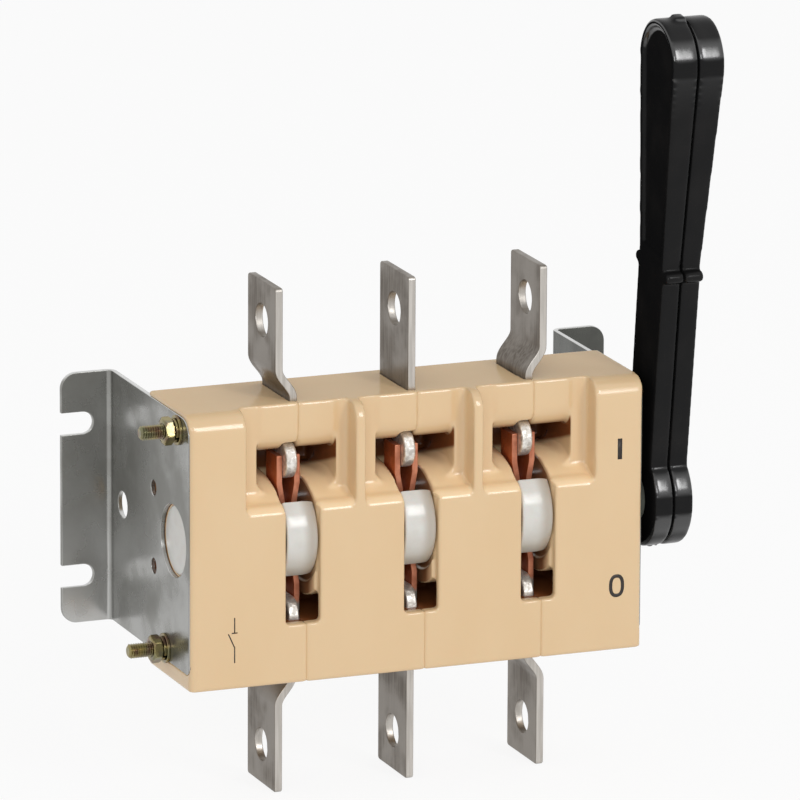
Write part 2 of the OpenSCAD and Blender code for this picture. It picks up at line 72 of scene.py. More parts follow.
Points = Sequence[tuple[float, float]]
Radius = Callable[[float, float], float]
Rows = Sequence[tuple[float, Radius]]
Softer = Callable[[Vector], bool]
Socket = bpy.types.NodeSocket
Shape = bmesh.types.BMesh


class Row(Enum):
    """The two rows of terminals, with the sign of their direction from the shaft."""

    TOP = 1
    BOTTOM = -1


class Pole(Enum):
    """The three poles, with the sign of the sideways step of their bars."""

    LEFT = -1
    MIDDLE = 0
    RIGHT = 1


class Shader:
    """A material's node tree with short calls for the nodes that the finishes use."""

    def __init__(self, name: str) -> None:
        """Starts a material with one principled shader.

        Args:
            name: The material's name.
        """
        self.material = bpy.data.materials.new(name)
        self.material.use_nodes = True
        self.tree = self.material.node_tree
        self.main = self.tree.nodes["Principled BSDF"]
        self.place = self.tree.nodes.new("ShaderNodeTexCoord").outputs["Object"]

    def link(self, out: Socket, into: Socket) -> None:
        """Joins an output to an input."""
        self.tree.links.new(out, into)

    def fix(self, **values: float) -> None:
        """Sets constant values on the principled shader's own sockets.

        Args:
            values: Socket names with underscores for spaces, and their values.
        """
        for key, value in values.items():
            self.main.inputs[key.replace("_", " ")].default_value = value

    def drive(self, socket: str, out: Socket) -> None:
        """Links an output to one of the principled shader's sockets."""
        self.link(out, self.main.inputs[socket])

    def noise(self, scale: float, detail: float = 3.0, stretch: Place = (1, 1, 1)) -> Socket:
        """Adds a noise pattern in the object's own coordinates.

        Args:
            scale: Waves per metre.
            detail: Octaves of finer noise.
            stretch: Scale along each axis before the noise.

        Returns:
            The noise's value output.
        """
        turn = self.tree.nodes.new("ShaderNodeMapping")
        turn.inputs["Scale"].default_value = stretch
        self.link(self.place, turn.inputs["Vector"])
        node = self.tree.nodes.new("ShaderNodeTexNoise")
        node.inputs["Scale"].default_value = scale
        node.inputs["Detail"].default_value = detail
        self.link(turn.outputs["Vector"], node.inputs["Vector"])
        return node.outputs["Fac"]

    def spread(self, value: Socket, span: Span, to: Span) -> Socket:
        """Maps a value smoothly from one span to another.

        Args:
            value: The value output to map.
            span: The two ends of the span it comes from.
            to: The two ends of the span it goes to.

        Returns:
            The mapped value's output.
        """
        node = self.tree.nodes.new("ShaderNodeMapRange")
        node.interpolation_type = "SMOOTHSTEP"
        for key, number in zip(("From Min", "From Max", "To Min", "To Max"), (*span, *to)):
            node.inputs[key].default_value = number
        self.link(value, node.inputs["Value"])
        return node.outputs["Result"]

    def rise(self, value: Socket, low: float, high: float, top: float = 1.0) -> Socket:
        """Maps a value smoothly to 0 at the span's first end and to the top at its last."""
        return self.spread(value, (low, high), (0.0, top))

    def fall(self, value: Socket, low: float, high: float, top: float = 1.0) -> Socket:
        """Maps a value smoothly to the top at the span's first end and to 0 at its last."""
        return self.spread(value, (low, high), (top, 0.0))

    def axis(self, name: str) -> Socket:
        """Gives one coordinate of the point.

        Args:
            name: The axis, X, Y or Z.

        Returns:
            The coordinate's output.
        """
        node = self.tree.nodes.new("ShaderNodeSeparateXYZ")
        self.link(self.place, node.inputs["Vector"])
        return node.outputs[name]

    def facing(self, name: str) -> Socket:
        """Gives how squarely the surface faces along an axis, either way.

        Args:
            name: The axis, X, Y or Z.

        Returns:
            The share's output, from 0 to 1.
        """
        normal = self.tree.nodes.new("ShaderNodeTexCoord").outputs["Normal"]
        node = self.tree.nodes.new("ShaderNodeSeparateXYZ")
        self.link(normal, node.inputs["Vector"])
        size = self.tree.nodes.new("ShaderNodeMath")
        size.operation = "ABSOLUTE"
        self.link(node.outputs[name], size.inputs[0])
        return size.outputs["Value"]

    def reach(self, y: float, z: float = 0.0) -> Socket:
        """Gives the distance from the line along X at a depth and a height.

        Args:
            y: The line's depth.
            z: The line's height.

        Returns:
            The distance's output.
        """
        shift = self.tree.nodes.new("ShaderNodeVectorMath")
        shift.operation = "SUBTRACT"
        shift.inputs[1].default_value = (0.0, y, z)
        self.link(self.place, shift.inputs[0])
        flat = self.tree.nodes.new("ShaderNodeVectorMath")
        flat.operation = "MULTIPLY"
        flat.inputs[1].default_value = (0.0, 1.0, 1.0)
        self.link(shift.outputs["Vector"], flat.inputs[0])
        span = self.tree.nodes.new("ShaderNodeVectorMath")
        span.operation = "LENGTH"
        self.link(flat.outputs["Vector"], span.inputs[0])
        return span.outputs["Value"]

    def bay(self) -> Socket:
        """Gives the distance along X from the nearest pole's middle.

        Returns:
            The distance's output, negative on the pole's left.
        """
        pitch = pole_x(Pole.MIDDLE) - pole_x(Pole.LEFT)
        wrap = self.tree.nodes.new("ShaderNodeMath")
        wrap.operation = "WRAP"
        wrap.inputs[1].default_value = pole_x(Pole.LEFT) + pitch / 2
        wrap.inputs[2].default_value = pole_x(Pole.LEFT) - pitch / 2
        self.link(self.axis("X"), wrap.inputs[0])
        shift = self.tree.nodes.new("ShaderNodeMath")
        shift.operation = "SUBTRACT"
        shift.inputs[1].default_value = pole_x(Pole.LEFT)
        self.link(wrap.outputs["Value"], shift.inputs[0])
        return shift.outputs["Value"]

    def join(self, how: str, first: Socket, second: Socket) -> Socket:
        """Joins two value outputs by a sum, a product or the like.

        Args:
            how: The operation's name.
            first: The first value.
            second: The second value.

        Returns:
            The result's output.
        """
        node = self.tree.nodes.new("ShaderNodeMath")
        node.operation = how
        self.link(first, node.inputs[0])
        self.link(second, node.inputs[1])
        return node.outputs["Value"]

    def times(self, *values: Socket) -> Socket:
        """Multiplies value outputs.

        Args:
            values: The outputs, two or more.

        Returns:
            The product's output.
        """
        result = values[0]
        for value in values[1:]:
            result = self.join("MULTIPLY", result, value)
        return result

    def between(self, share: Socket, first: "Colour | Socket", second: Colour) -> Socket:
        """Mixes two colours.

        Args:
            share: Value output that says how much of the second colour shows.
            first: A colour or a colour output.
            second: A colour.

        Returns:
            The mixed colour's output.
        """
        node = self.tree.nodes.new("ShaderNodeMix")
        node.data_type = "RGBA"
        self.link(share, node.inputs["Factor"])
        if isinstance(first, tuple):
            node.inputs["A"].default_value = (*first, 1.0)
        else:
            self.link(first, node.inputs["A"])
        node.inputs["B"].default_value = (*second, 1.0)
        return node.outputs["Result"]

    def relief(self, height: Socket, depth: float) -> None:
        """Gives the surface a fine relief.

        Args:
            height: Value output of the relief's height.
            depth: Height of the relief in metres.
        """
        node = self.tree.nodes.new("ShaderNodeBump")
        node.inputs["Strength"].default_value = 1.0
        node.inputs["Distance"].default_value = depth
        self.link(height, node.inputs["Height"])
        self.drive("Normal", node.outputs["Normal"])


@dataclass(frozen=True)
class Finish:
    """A surface finish, made once and shared by the pieces that have it."""

    title: ClassVar[str] = "finish"

    def material(self) -> bpy.types.Material:
        """Gives the finish's material, built on first use."""
        found = bpy.data.materials.get(self.title)
        return found or self.build(Shader(self.title))

    def build(self, sh: Shader) -> bpy.types.Material:
        """Fills in the finish's nodes and gives its material."""
        return sh.material


@dataclass(frozen=True)
class CreamMoulding(Finish):
    """Cream moulded plastic with faint flow marks and a fine grain, with painted shade in its chambers and
    slots and painted light on the shroud's front.
    """

    title: ClassVar[str] = "cream_moulding"
    colour: Colour = (0.755, 0.545, 0.318)
    warm: Colour = (0.715, 0.492, 0.268)
    # painted shade: the colour of the shadowed insides of the chambers and slots
    painted_shade: Colour = (0.210, 0.072, 0.024)
    # painted light: the brighter cream of the shroud's front
    bright: Colour = (0.900, 0.655, 0.385)
    pocket: float = 0.0099
    slope: float = 0.322
    dark_from: float = 0.0322
    shroud: Span = (0.0310, -0.0228)
    shroud_r: float = 0.0460
    barrel: Span = (0.0189, 0.0435)
    barrel_r: float = 0.0097
    mouth: Span = (0.0340, 0.0372)
    shade_fade: float = 0.0022
    boss_r: float = 0.0268
    wall: float = 0.0036
    cheek: float = 0.0080
    edge: float = 0.0008
    lit_from: Span = (0.0095, 0.0110)
    lit_to: Span = (0.0243, 0.0250)
    lit_depth: Span = (0.0240, 0.0340)
    skin: float = 0.0010

    def depth(self, sh: Shader, first: float, last: float) -> Socket:
        """Gives how far a point lies between two depths behind the front, from 0 to 1."""
        front = box("housing_left_end")[0].y
        return sh.spread(sh.axis("Y"), (front + first, front + last), (0.0, 1.0))

    def painted_shade_above(self, sh: Shader) -> Socket:
        """Gives how much painted shade lies in the chambers over the shroud.

        Args:
            sh: The finish's nodes.

        Returns:
            The share's output, from 0 to 1.
        """
        front = box("housing_left_end")[0].y
        tilt = sh.tree.nodes.new("ShaderNodeMath")
        tilt.operation = "MULTIPLY_ADD"
        tilt.inputs[1].default_value = self.slope
        sh.link(sh.axis("Y"), tilt.inputs[0])
        sh.link(sh.axis("Z"), tilt.inputs[2])
        level = self.dark_from + self.slope * front
        high = sh.rise(tilt.outputs["Value"], level, level + self.shade_fade)
        dark = sh.times(high, self.depth(sh, self.pocket, self.pocket + self.edge))
        reach = sh.reach(front + self.barrel[0], self.barrel[1])
        skin = sh.rise(reach, self.barrel_r, self.barrel_r + self.edge)
        low = sh.fall(sh.axis("Z"), *self.mouth, 0.75)
        return sh.times(dark, sh.join("MAXIMUM", skin, low))

    def painted_shade_cheeks(self, sh: Shader) -> Socket:
        """Gives how much painted shade lies on the sides of the knives' slots.

        Args:
            sh: The finish's nodes.

        Returns:
            The share's output, from 0 to 1.
        """
        left = sh.rise(sh.bay(), -self.cheek - self.edge, -self.cheek)
        near = sh.times(left, sh.fall(sh.bay(), self.cheek, self.cheek + self.edge))
        front = box("housing_left_end")[0].y
        reach = sh.reach(front + self.shroud[0], self.shroud[1])
        skin = sh.fall(reach, self.shroud_r - 0.0022, self.shroud_r - 0.0012)
        flat = sh.rise(sh.facing("X"), 0.8, 0.95, 0.85)
        return sh.times(near, skin, flat, self.depth(sh, self.wall, 3 * self.wall))

    def lit(self, sh: Shader) -> Socket:
        """Gives where painted light brightens the shroud's front.

        Args:
            sh: The finish's nodes.

        Returns:
            The share's output, from 0 to 1.
        """
        front = box("housing_left_end")[0].y
        up = sh.rise(sh.facing("Z"), 0.25, 0.55)
        under = sh.fall(sh.axis("Z"), *self.lit_to)
        over = sh.rise(sh.axis("Z"), *self.lit_from)
        near = sh.fall(sh.axis("Y"), front + self.lit_depth[0], front + self.lit_depth[1])
        return sh.times(up, under, over, near)

    def painted_shade_below(self, sh: Shader) -> Socket:
        """Gives how much painted shade lies in the space under the drums' bosses.

        Args:
            sh: The finish's nodes.

        Returns:
            The share's output, from 0 to 1.
        """
        ring = sh.rise(sh.reach(shaft_point().y), self.boss_r, self.boss_r + self.edge)
        low = sh.fall(sh.axis("Z"), -2 * self.edge, 0.0)
        return sh.times(self.depth(sh, self.wall, self.wall + self.edge), ring, low)

    def inside(self, sh: Shader) -> Socket:
        """Gives 1 within the housing and 0 on its outer faces.

        Args:
            sh: The finish's nodes.

        Returns:
            The share's output, from 0 to 1.
        """
        low, high = box("housing_left_end")[0], box("housing_right_end")[1]
        skin = self.skin
        left = sh.rise(sh.axis("X"), low.x + skin, low.x + 2 * skin)
        right = sh.fall(sh.axis("X"), high.x - 2 * skin, high.x - skin)
        back = sh.fall(sh.axis("Y"), high.y - 2 * skin, high.y - skin)
        under = sh.rise(sh.axis("Z"), low.z + skin, low.z + 2 * skin)
        above = sh.fall(sh.axis("Z"), high.z - 2 * skin, high.z - skin)
        return sh.times(left, right, back, under, above)

    def build(self, sh: Shader) -> bpy.types.Material:
        """Mixes flow marks into the cream, paints light on the shroud's front and paints shade in the space
        behind the pockets.

        Args:
            sh: The finish's nodes, still empty.

        Returns:
            The finished material.
        """
        flow = sh.rise(sh.noise(38.0, 4.0, (1.0, 1.0, 0.5)), 0.35, 0.75, 0.35)
        # painted light on the shroud's front
        body = sh.between(self.lit(sh), sh.between(flow, self.colour, self.warm), self.bright)
        # painted shade deep in the chambers, on the slots' sides and under the drums' bosses
        dark = sh.join("MAXIMUM", self.painted_shade_above(sh), self.painted_shade_below(sh))
        dark = sh.join("MAXIMUM", dark, self.painted_shade_cheeks(sh))
        shade = sh.times(self.inside(sh), dark)
        sh.drive("Base Color", sh.between(shade, body, self.painted_shade))
        sh.drive("Roughness", sh.spread(sh.noise(120.0, 5.0), (0.3, 0.7), (0.15, 0.20)))
        sh.relief(sh.noise(1400.0, 2.0), 0.000005)
        sh.drive("Specular IOR Level", sh.spread(sh.facing("Z"), (0.75, 0.97), (0.60, 0.03)))
        sh.fix(IOR=1.5, Subsurface_Weight=0.04, Subsurface_Scale=0.002)
        return sh.material


@dataclass(frozen=True)
class TinnedBar(Finish):
    """Tinned copper bar with rolling streaks and cloudy stains, and sheared edges lightened partly by their
    bare cut and partly by painted light.
    """

    title: ClassVar[str] = "tinned_bar"
    colour: Colour = (0.225, 0.200, 0.172)
    stain: Colour = (0.120, 0.100, 0.080)
    # lighter sheared edges, partly the cut itself and partly painted light on the faces turned to the front
    sheared_lit: Colour = (0.560, 0.530, 0.490)
    metallic: float = 0.80

    def build(self, sh: Shader) -> bpy.types.Material:
        """Lays streaks along the bar over cloudy stains, and lightens the sheared edges, partly with
        painted light.

        Args:
            sh: The finish's nodes, still empty.

        Returns:
            The finished material.
        """
        streak = sh.rise(sh.noise(900.0, 3.0, (1.0, 1.0, 0.05)), 0.3, 0.7)
        cloud = sh.rise(sh.noise(48.0, 6.0), 0.38, 0.68)
        face = sh.between(sh.times(cloud, streak), self.colour, self.stain)
        # sheared edges lighter partly from the cut and partly as painted light
        shear_lit = sh.rise(sh.facing("Y"), 0.45, 0.85)
        shear_lit = sh.times(shear_lit, sh.spread(streak, (0.0, 1.0), (1.0, 0.72)))
        sh.drive("Base Color", sh.between(shear_lit, face, self.sheared_lit))
        sh.drive("Roughness", sh.spread(cloud, (0.0, 1.0), (0.34, 0.52)))
        sh.relief(streak, 0.000010)
        sh.fix(Metallic=self.metallic)
        return sh.material


@dataclass(frozen=True)
class SilverHead(Finish):
    """Silver contact head, rough from tinning and wear."""

    title: ClassVar[str] = "silver_head"
    colour: Colour = (0.86, 0.83, 0.78)
    dull: Colour = (0.52, 0.49, 0.45)

    def build(self, sh: Shader) -> bpy.types.Material:
        """Makes an uneven silver skin.

        Args:
            sh: The finish's nodes, still empty.

        Returns:
            The finished material.
        """
        lumps = sh.rise(sh.noise(520.0, 4.0), 0.35, 0.68)
        sh.drive("Base Color", sh.between(lumps, self.dull, self.colour))
        sh.drive("Roughness", sh.spread(lumps, (0.0, 1.0), (0.50, 0.30)))
        sh.relief(lumps, 0.00012)
        sh.fix(Metallic=0.75)
        return sh.material


@dataclass(frozen=True)
class ZincSheet(Finish):
    """Zinc-plated steel sheet with cloudy patches and faint rolling lines, a painted highlight on its cut
    edges and a painted reflection of the floor low on its faces turned along Y.
    """

    title: ClassVar[str] = "zinc_sheet"
    colour: Colour = (0.345, 0.345, 0.330)
    dark: Colour = (0.235, 0.232, 0.215)
    # painted highlight and painted reflection colour
    rim: Colour = (0.600, 0.600, 0.590)

    def build(self, sh: Shader) -> bpy.types.Material:
        """Makes satin sheet with clouds in colour and gloss, a painted highlight on its edges and a painted
        floor reflection low down.

        Args:
            sh: The finish's nodes, still empty.

        Returns:
            The finished material.
        """
        cloud = sh.rise(sh.noise(45.0, 5.0), 0.35, 0.7)
        lines = sh.noise(800.0, 2.0, (1.0, 0.06, 1.0))
        # painted highlight on the faces turned up or down
        edge = sh.rise(sh.facing("Z"), 0.4, 0.8)
        # painted reflection of the floor, lighter towards the bottom on faces turned along Y
        low = sh.rise(sh.axis("Z"), 0.010, -0.030, 0.55)
        low = sh.times(low, sh.rise(sh.facing("Y"), 0.7, 0.95))
        body = sh.between(low, sh.between(cloud, self.colour, self.dark), self.rim)
        sh.drive("Base Color", sh.between(edge, body, self.rim))
        sh.drive("Roughness", sh.spread(cloud, (0.0, 1.0), (0.22, 0.36)))
        sh.relief(lines, 0.000006)
        sh.fix(Metallic=0.88)
        return sh.material


@dataclass(frozen=True)
class DullZincSheet(ZincSheet):
    """The same sheet with a duller plating."""

    title: ClassVar[str] = "dull_zinc_sheet"
    colour: Colour = (0.108, 0.110, 0.100)
    dark: Colour = (0.082, 0.083, 0.075)


@dataclass(frozen=True)
class YellowZinc(Finish):
    """Yellow-passivated fasteners with a faint rainbow over a brownish ground."""

    title: ClassVar[str] = "yellow_zinc"
    colour: Colour = (0.290, 0.245, 0.110)
    rose: Colour = (0.165, 0.100, 0.075)
    green: Colour = (0.190, 0.195, 0.120)

    def build(self, sh: Shader) -> bpy.types.Material:
        """Drifts the yellow towards rose and green in patches.

        Args:
            sh: The finish's nodes, still empty.

        Returns:
            The finished material.
        """
        first = sh.spread(sh.noise(260.0, 2.0), (0.40, 0.65), (0.0, 0.9))
        second = sh.spread(sh.noise(170.0, 2.0, (1.0, 1.3, 0.8)), (0.45, 0.70), (0.0, 0.8))
        sh.drive("Base Color", sh.between(second, sh.between(first, self.colour, self.rose), self.green))
        sh.drive("Roughness", sh.spread(sh.noise(600.0, 3.0), (0.3, 0.7), (0.14, 0.26)))
        sh.fix(Metallic=1.0)
        return sh.material


@dataclass(frozen=True)
class BareCopper(Finish):
    """Bare copper knives, browned in patches and grey at their lower tips, with painted shade in a deep
    copper red on their sides.
    """

    title: ClassVar[str] = "bare_copper"
    colour: Colour = (0.60, 0.235, 0.135)
    brown: Colour = (0.44, 0.155, 0.085)
    # painted shade in a deep copper red, as from light bounced between the copper faces
    flank_shade: Colour = (0.550, 0.130, 0.035)
    # grey colour of the knives' lower tips
    grey_tip: Colour = (0.30, 0.28, 0.25)
    grey_from: float = -0.0270

    def build(self, sh: Shader) -> bpy.types.Material:
        """Browns the copper, paints shade on the sides and blends in the grey tip.

        Args:
            sh: The finish's nodes, still empty.

        Returns:
            The finished material.
        """
        patch = sh.rise(sh.noise(240.0, 5.0), 0.35, 0.7)
        body = sh.between(patch, self.colour, self.brown)
        tip = sh.spread(sh.axis("Z"), (self.grey_from - 0.0025, self.grey_from), (1.0, 0.0))
        # painted shade in a deep copper red on the faces turned along X
        flank_shade = sh.spread(sh.facing("X"), (0.75, 0.97), (0.0, 0.85))
        sh.drive("Base Color", sh.between(tip, sh.between(flank_shade, body, self.flank_shade), self.grey_tip))
        sh.drive("Roughness", sh.spread(patch, (0.0, 1.0), (0.36, 0.55)))
        sh.relief(sh.noise(1100.0, 2.0, (1.0, 0.1, 1.0)), 0.00001)
        sh.fix(Metallic=0.60)
        return sh.material


@dataclass(frozen=True)
class WhiteNylon(Finish):
    """Milky nylon drum with faint cloudiness, and painted shade on its right part and towards its bottom.
    """

    title: ClassVar[str] = "white_nylon"
    colour: Colour = (0.690, 0.675, 0.635)
    cloud: Colour = (0.650, 0.630, 0.585)
    # painted shade towards the drums' bottom
    painted_low_shade: Colour = (0.430, 0.385, 0.320)
    # painted shade on each drum's right part
    shaded: Colour = (0.440, 0.385, 0.320)
    drums_from: Span = (0.030, 0.035)
    side: Span = (0.0005, 0.0052)
    low_shade: Span = (0.001, -0.018)

    def build(self, sh: Shader) -> bpy.types.Material:
        """Makes a glossy milky skin, with painted shade on the drums' right parts and lower parts.

        Args:
            sh: The finish's nodes, still empty.

        Returns:
            The finished material.
        """
        patch = sh.rise(sh.noise(150.0, 3.0), 0.4, 0.75)
        body = sh.between(patch, self.colour, self.cloud)
        drums = sh.rise(sh.axis("X"), *self.drums_from)
        # painted shade on each drum's right part
        side = sh.times(drums, sh.rise(sh.bay(), *self.side, 0.85))
        # painted shade towards the drum's bottom
        low_shade = sh.times(drums, sh.rise(sh.axis("Z"), *self.low_shade, 0.80))
        body = sh.between(side, body, self.shaded)
        body = sh.between(low_shade, body, self.painted_low_shade)
        sh.drive("Base Color", body)
        sh.drive("Roughness", sh.spread(sh.noise(300.0, 3.0), (0.3, 0.7), (0.16, 0.22)))
        sh.fix(Subsurface_Weight=0.10, Subsurface_Scale=0.003)
        return sh.material


@dataclass(frozen=True)
class BlackMoulding(Finish):
    """Glossy black moulded plastic with handling marks."""

    title: ClassVar[str] = "black_moulding"
    colour: Colour = (0.0075, 0.0075, 0.0078)
    worn: Colour = (0.0110, 0.0105, 0.0105)
    crown: Span = (0.160, 0.184)
    hub: Span = (0.012, 0.016)

    def build(self, sh: Shader) -> bpy.types.Material:
        """Varies the gloss with rubbed patches and fine pits.

        Args:
            sh: The finish's nodes, still empty.

        Returns:
            The finished material.
        """
        rub = sh.rise(sh.noise(55.0, 6.0), 0.4, 0.75)
        sh.drive("Base Color", sh.between(rub, self.colour, self.worn))
        sh.drive("Roughness", sh.spread(rub, (0.0, 1.0), (0.17, 0.28)))
        sh.relief(sh.noise(420.0, 4.0), 0.00002)
        ends = sh.join("MAXIMUM", sh.rise(sh.axis("Z"), *self.crown), sh.fall(sh.axis("Z"), *self.hub))
        bent = sh.rise(sh.facing("Z"), 0.14, 0.28, 0.85)
        level = sh.spread(sh.facing("Z"), (0.50, 0.68), (1.0, 0.12))
        rounds = sh.times(ends, bent, level)
        gloss = sh.join("ADD", rounds, sh.rise(sh.facing("Y"), 0.3, 0.8, 0.12))
        sh.drive("Specular IOR Level", gloss)
        return sh.material


@dataclass(frozen=True)
class GreySpindle(Finish):
    """Grey-green moulded spindle."""

    title: ClassVar[str] = "grey_spindle"
    colour: Colour = (0.170, 0.180, 0.150)
    stain: Colour = (0.110, 0.115, 0.095)

    def build(self, sh: Shader) -> bpy.types.Material:
        """Stains the grey in patches.

        Args:
            sh: The finish's nodes, still empty.

        Returns:
            The finished material.
        """
        patch = sh.rise(sh.noise(200.0, 4.0), 0.4, 0.7)
        sh.drive("Base Color", sh.between(patch, self.colour, self.stain))
        sh.drive("Roughness", sh.spread(patch, (0.0, 1.0), (0.35, 0.50)))
        return sh.material


@dataclass(frozen=True)
class BrightSteel(Finish):
    """Bright zinc-plated steel of the handle's screw."""

    title: ClassVar[str] = "bright_steel"
    colour: Colour = (0.36, 0.36, 0.36)
    dull: Colour = (0.24, 0.24, 0.23)

    def build(self, sh: Shader) -> bpy.types.Material:
        """Dulls the plating in small patches.

        Args:
            sh: The finish's nodes, still empty.

        Returns:
            The finished material.
        """
        patch = sh.rise(sh.noise(500.0, 4.0), 0.4, 0.7)
        sh.drive("Base Color", sh.between(patch, self.colour, self.dull))
        sh.drive("Roughness", sh.spread(patch, (0.0, 1.0), (0.22, 0.36)))
        sh.fix(Metallic=1.0)
        return sh.material


@dataclass(frozen=True)
class DarkInk(Finish):
    """Dark brown stamped ink with slightly uneven cover."""

    title: ClassVar[str] = "dark_ink"
    colour: Colour = (0.018, 0.012, 0.009)
    thin: Colour = (0.045, 0.030, 0.020)

    def build(self, sh: Shader) -> bpy.types.Material:
        """Thins the ink in small spots.

        Args:
            sh: The finish's nodes, still empty.

        Returns:
            The finished material.
        """
        spots = sh.rise(sh.noise(700.0, 4.0), 0.5, 0.75)
        sh.drive("Base Color", sh.between(spots, self.colour, self.thin))
        sh.drive("Roughness", sh.spread(spots, (0.0, 1.0), (0.40, 0.55)))
        return sh.material


@dataclass
class Assembly:
    """A sub-assembly that rides on one body of the frame."""

    body: str = "base"

    def put(self, name: str, shape: Shape, finish: Finish, slot: str,
            stands_for: Sequence[str] = (), bevel: float = 0.0, rounds: int = 2) -> bpy.types.Object:
        """Turns a built shape into a dressed piece of this sub-assembly.

        Args:
            name: The piece's name.
            shape: The built shape, freed here.
            finish: Its finish.
            slot: The record's material slot it belongs to, or an empty string; not used.
            stands_for: CAD nodes that the piece is shown instead of.
            bevel: Width of the rounding of edges whose weight is 1.
            rounds: Segments of that rounding.

        Returns:
            The piece.
        """
        mesh = bpy.data.meshes.new(name)
        bmesh.ops.recalc_face_normals(shape, faces=shape.faces)
        shape.to_mesh(mesh)
        shape.free()
        mesh.polygons.foreach_set("use_smooth", [True] * len(mesh.polygons))
        mesh.materials.append(finish.material())
        piece = bpy.data.objects.new(name, mesh)
        bpy.context.scene.collection.objects.link(piece)
        if bevel:
            cut = piece.modifiers.new("Rounding", "BEVEL")
            cut.width = bevel
            cut.segments = rounds
            cut.limit_method = "WEIGHT"
            cut.use_clamp_overlap = False
            level = piece.modifiers.new("Normals", "WEIGHTED_NORMAL")
            level.keep_sharp = True
        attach(piece, self.body)
        if stands_for:
            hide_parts(*stands_for)
        LOG.info("%s: %d faces on %s", name, len(mesh.polygons), self.body)
        return piece

    def copy_of(self, node: str) -> Shape:
        """Copies a CAD node's mesh, with its split corners joined and flat areas made whole.

        Args:
            node: The CAD node.

        Returns:
            The copied shape.
        """
        shape = bmesh.new()
        shape.from_mesh(frame["nodes"][node].data)
        bmesh.ops.remove_doubles(shape, verts=shape.verts, dist=1e-6)
        bmesh.ops.dissolve_limit(shape, angle_limit=math.radians(1.0), verts=shape.verts, edges=shape.edges)
        return shape

    def add(self, shape: Shape, extra: Shape) -> None:
        """Adds a second shape to a shape.

        Args:
            shape: The shape that grows.
            extra: The shape that is added, freed here.
        """
        mesh = bpy.data.meshes.new("extra")
        bmesh.ops.recalc_face_normals(extra, faces=extra.faces)
        extra.to_mesh(mesh)
        extra.free()
        shape.from_mesh(mesh)
        bpy.data.meshes.remove(mesh)

    def moulded(self, shape: Shape, grain: float, passes: int, softer: Optional[Softer] = None,
                extra: int = 0) -> Shape:
        """Remakes solids as one moulding whose edges and corners are all rounded.

        Args:
            shape: The solids, which may overlap, freed here.
            grain: Size of the moulding's facets.
            passes: How often all points are smoothed.
            softer: Says of a point whether it lies at an edge with a larger rounding.
            extra: How often those points are smoothed after that.

        Returns:
            The moulding.
        """
        mesh = bpy.data.meshes.new("blank")
        shape.to_mesh(mesh)
        shape.free()
        blank = bpy.data.objects.new("blank", mesh)
        bpy.context.scene.collection.objects.link(blank)
        skin = blank.modifiers.new("Skin", "REMESH")
        skin.mode = "VOXEL"
        skin.voxel_size = grain
        made = bmesh.new()
        made.from_object(blank, bpy.context.evaluated_depsgraph_get())
        bpy.data.objects.remove(blank)
        bpy.data.meshes.remove(mesh)
        chosen = [v for v in made.verts if softer and softer(v.co)]
        all_ways = {"use_axis_x": True, "use_axis_y": True, "use_axis_z": True}
        for group, count in ((made.verts, passes), (chosen, extra)):
            for _ in range(count):
                bmesh.ops.smooth_vert(made, verts=group, factor=0.5, **all_ways)
        return made

    def weigh(self, shape: Shape, sharp: float = 35.0) -> Shape:
        """Marks each sharp edge for rounding.

        Args:
            shape: The shape whose edges are marked.
            sharp: Least angle of a sharp edge, in degrees.

        Returns:
            The same shape.
        """
        layers = shape.edges.layers.float
        layer = layers.get("bevel_weight_edge") or layers.new("bevel_weight_edge")
        for edge in shape.edges:
            if len(edge.link_faces) == 2 and edge.calc_face_angle(0.0) > math.radians(sharp):
                edge[layer] = 1.0
        return shape

    def turned(self, rows: Rows, centre: Vector, sides: int = 48, ring: bool = False) -> Shape:
        """Builds a shape about a line along X from rows of radii.

        Args:
            rows: For each row its place along X and its radius at an angle and a place.
            centre: A point of the axis.
            sides: Points around.
            ring: Whether the last row joins the first one, as in a washer.

        Returns:
            The shape, closed by flat ends unless it is a ring.
        """
        shape = bmesh.new()
        loops = []
        for x, radius in rows:
            loop = []
            for i in range(sides):
                angle = 2 * math.pi * i / sides
                r = radius(angle, x)
                y = centre.y + r * math.cos(angle)
                z = centre.z + r * math.sin(angle)
                loop.append(shape.verts.new((x, y, z)))
            loops.append(loop)
        return skinned(shape, loops, ring)

    def plate(self, outline: Points, x0: float, x1: float) -> Shape:
        """Builds a plate across X from an outline of (y, z) points.

        Args:
            outline: The outline's points in order.
            x0: Its left face.
            x1: Its right face.

        Returns:
            The plate's shape.
        """
        shape = bmesh.new()
        skinned(shape, [[shape.verts.new((x, y, z)) for y, z in outline] for x in (x0, x1)])
        bmesh.ops.recalc_face_normals(shape, faces=shape.faces)
        return shape


def skinned(shape: Shape, loops: Sequence[Sequence[bmesh.types.BMVert]], ring: bool = False) -> Shape:
    """Joins loops of points into a closed skin.

    Args:
        shape: The shape that holds the points.
        loops: Loops of equally many points, in order.
        ring: Whether the last loop joins the first one. Otherwise flat ends close the skin.

    Returns:
        The same shape.
    """
    count = len(loops[0])
    for first, second in zip(loops, [*loops[1:], *([loops[0]] if ring else [])]):
        for i in range(count):
            j = (i + 1) % count
            shape.faces.new((first[i], first[j], second[j], second[i]))
    if not ring:
        shape.faces.new(loops[0])
        shape.faces.new(loops[-1])
    return shape


def even(radius: float) -> Radius:
    """Gives a rule for a radius that is the same all round."""
    return lambda angle, x: radius


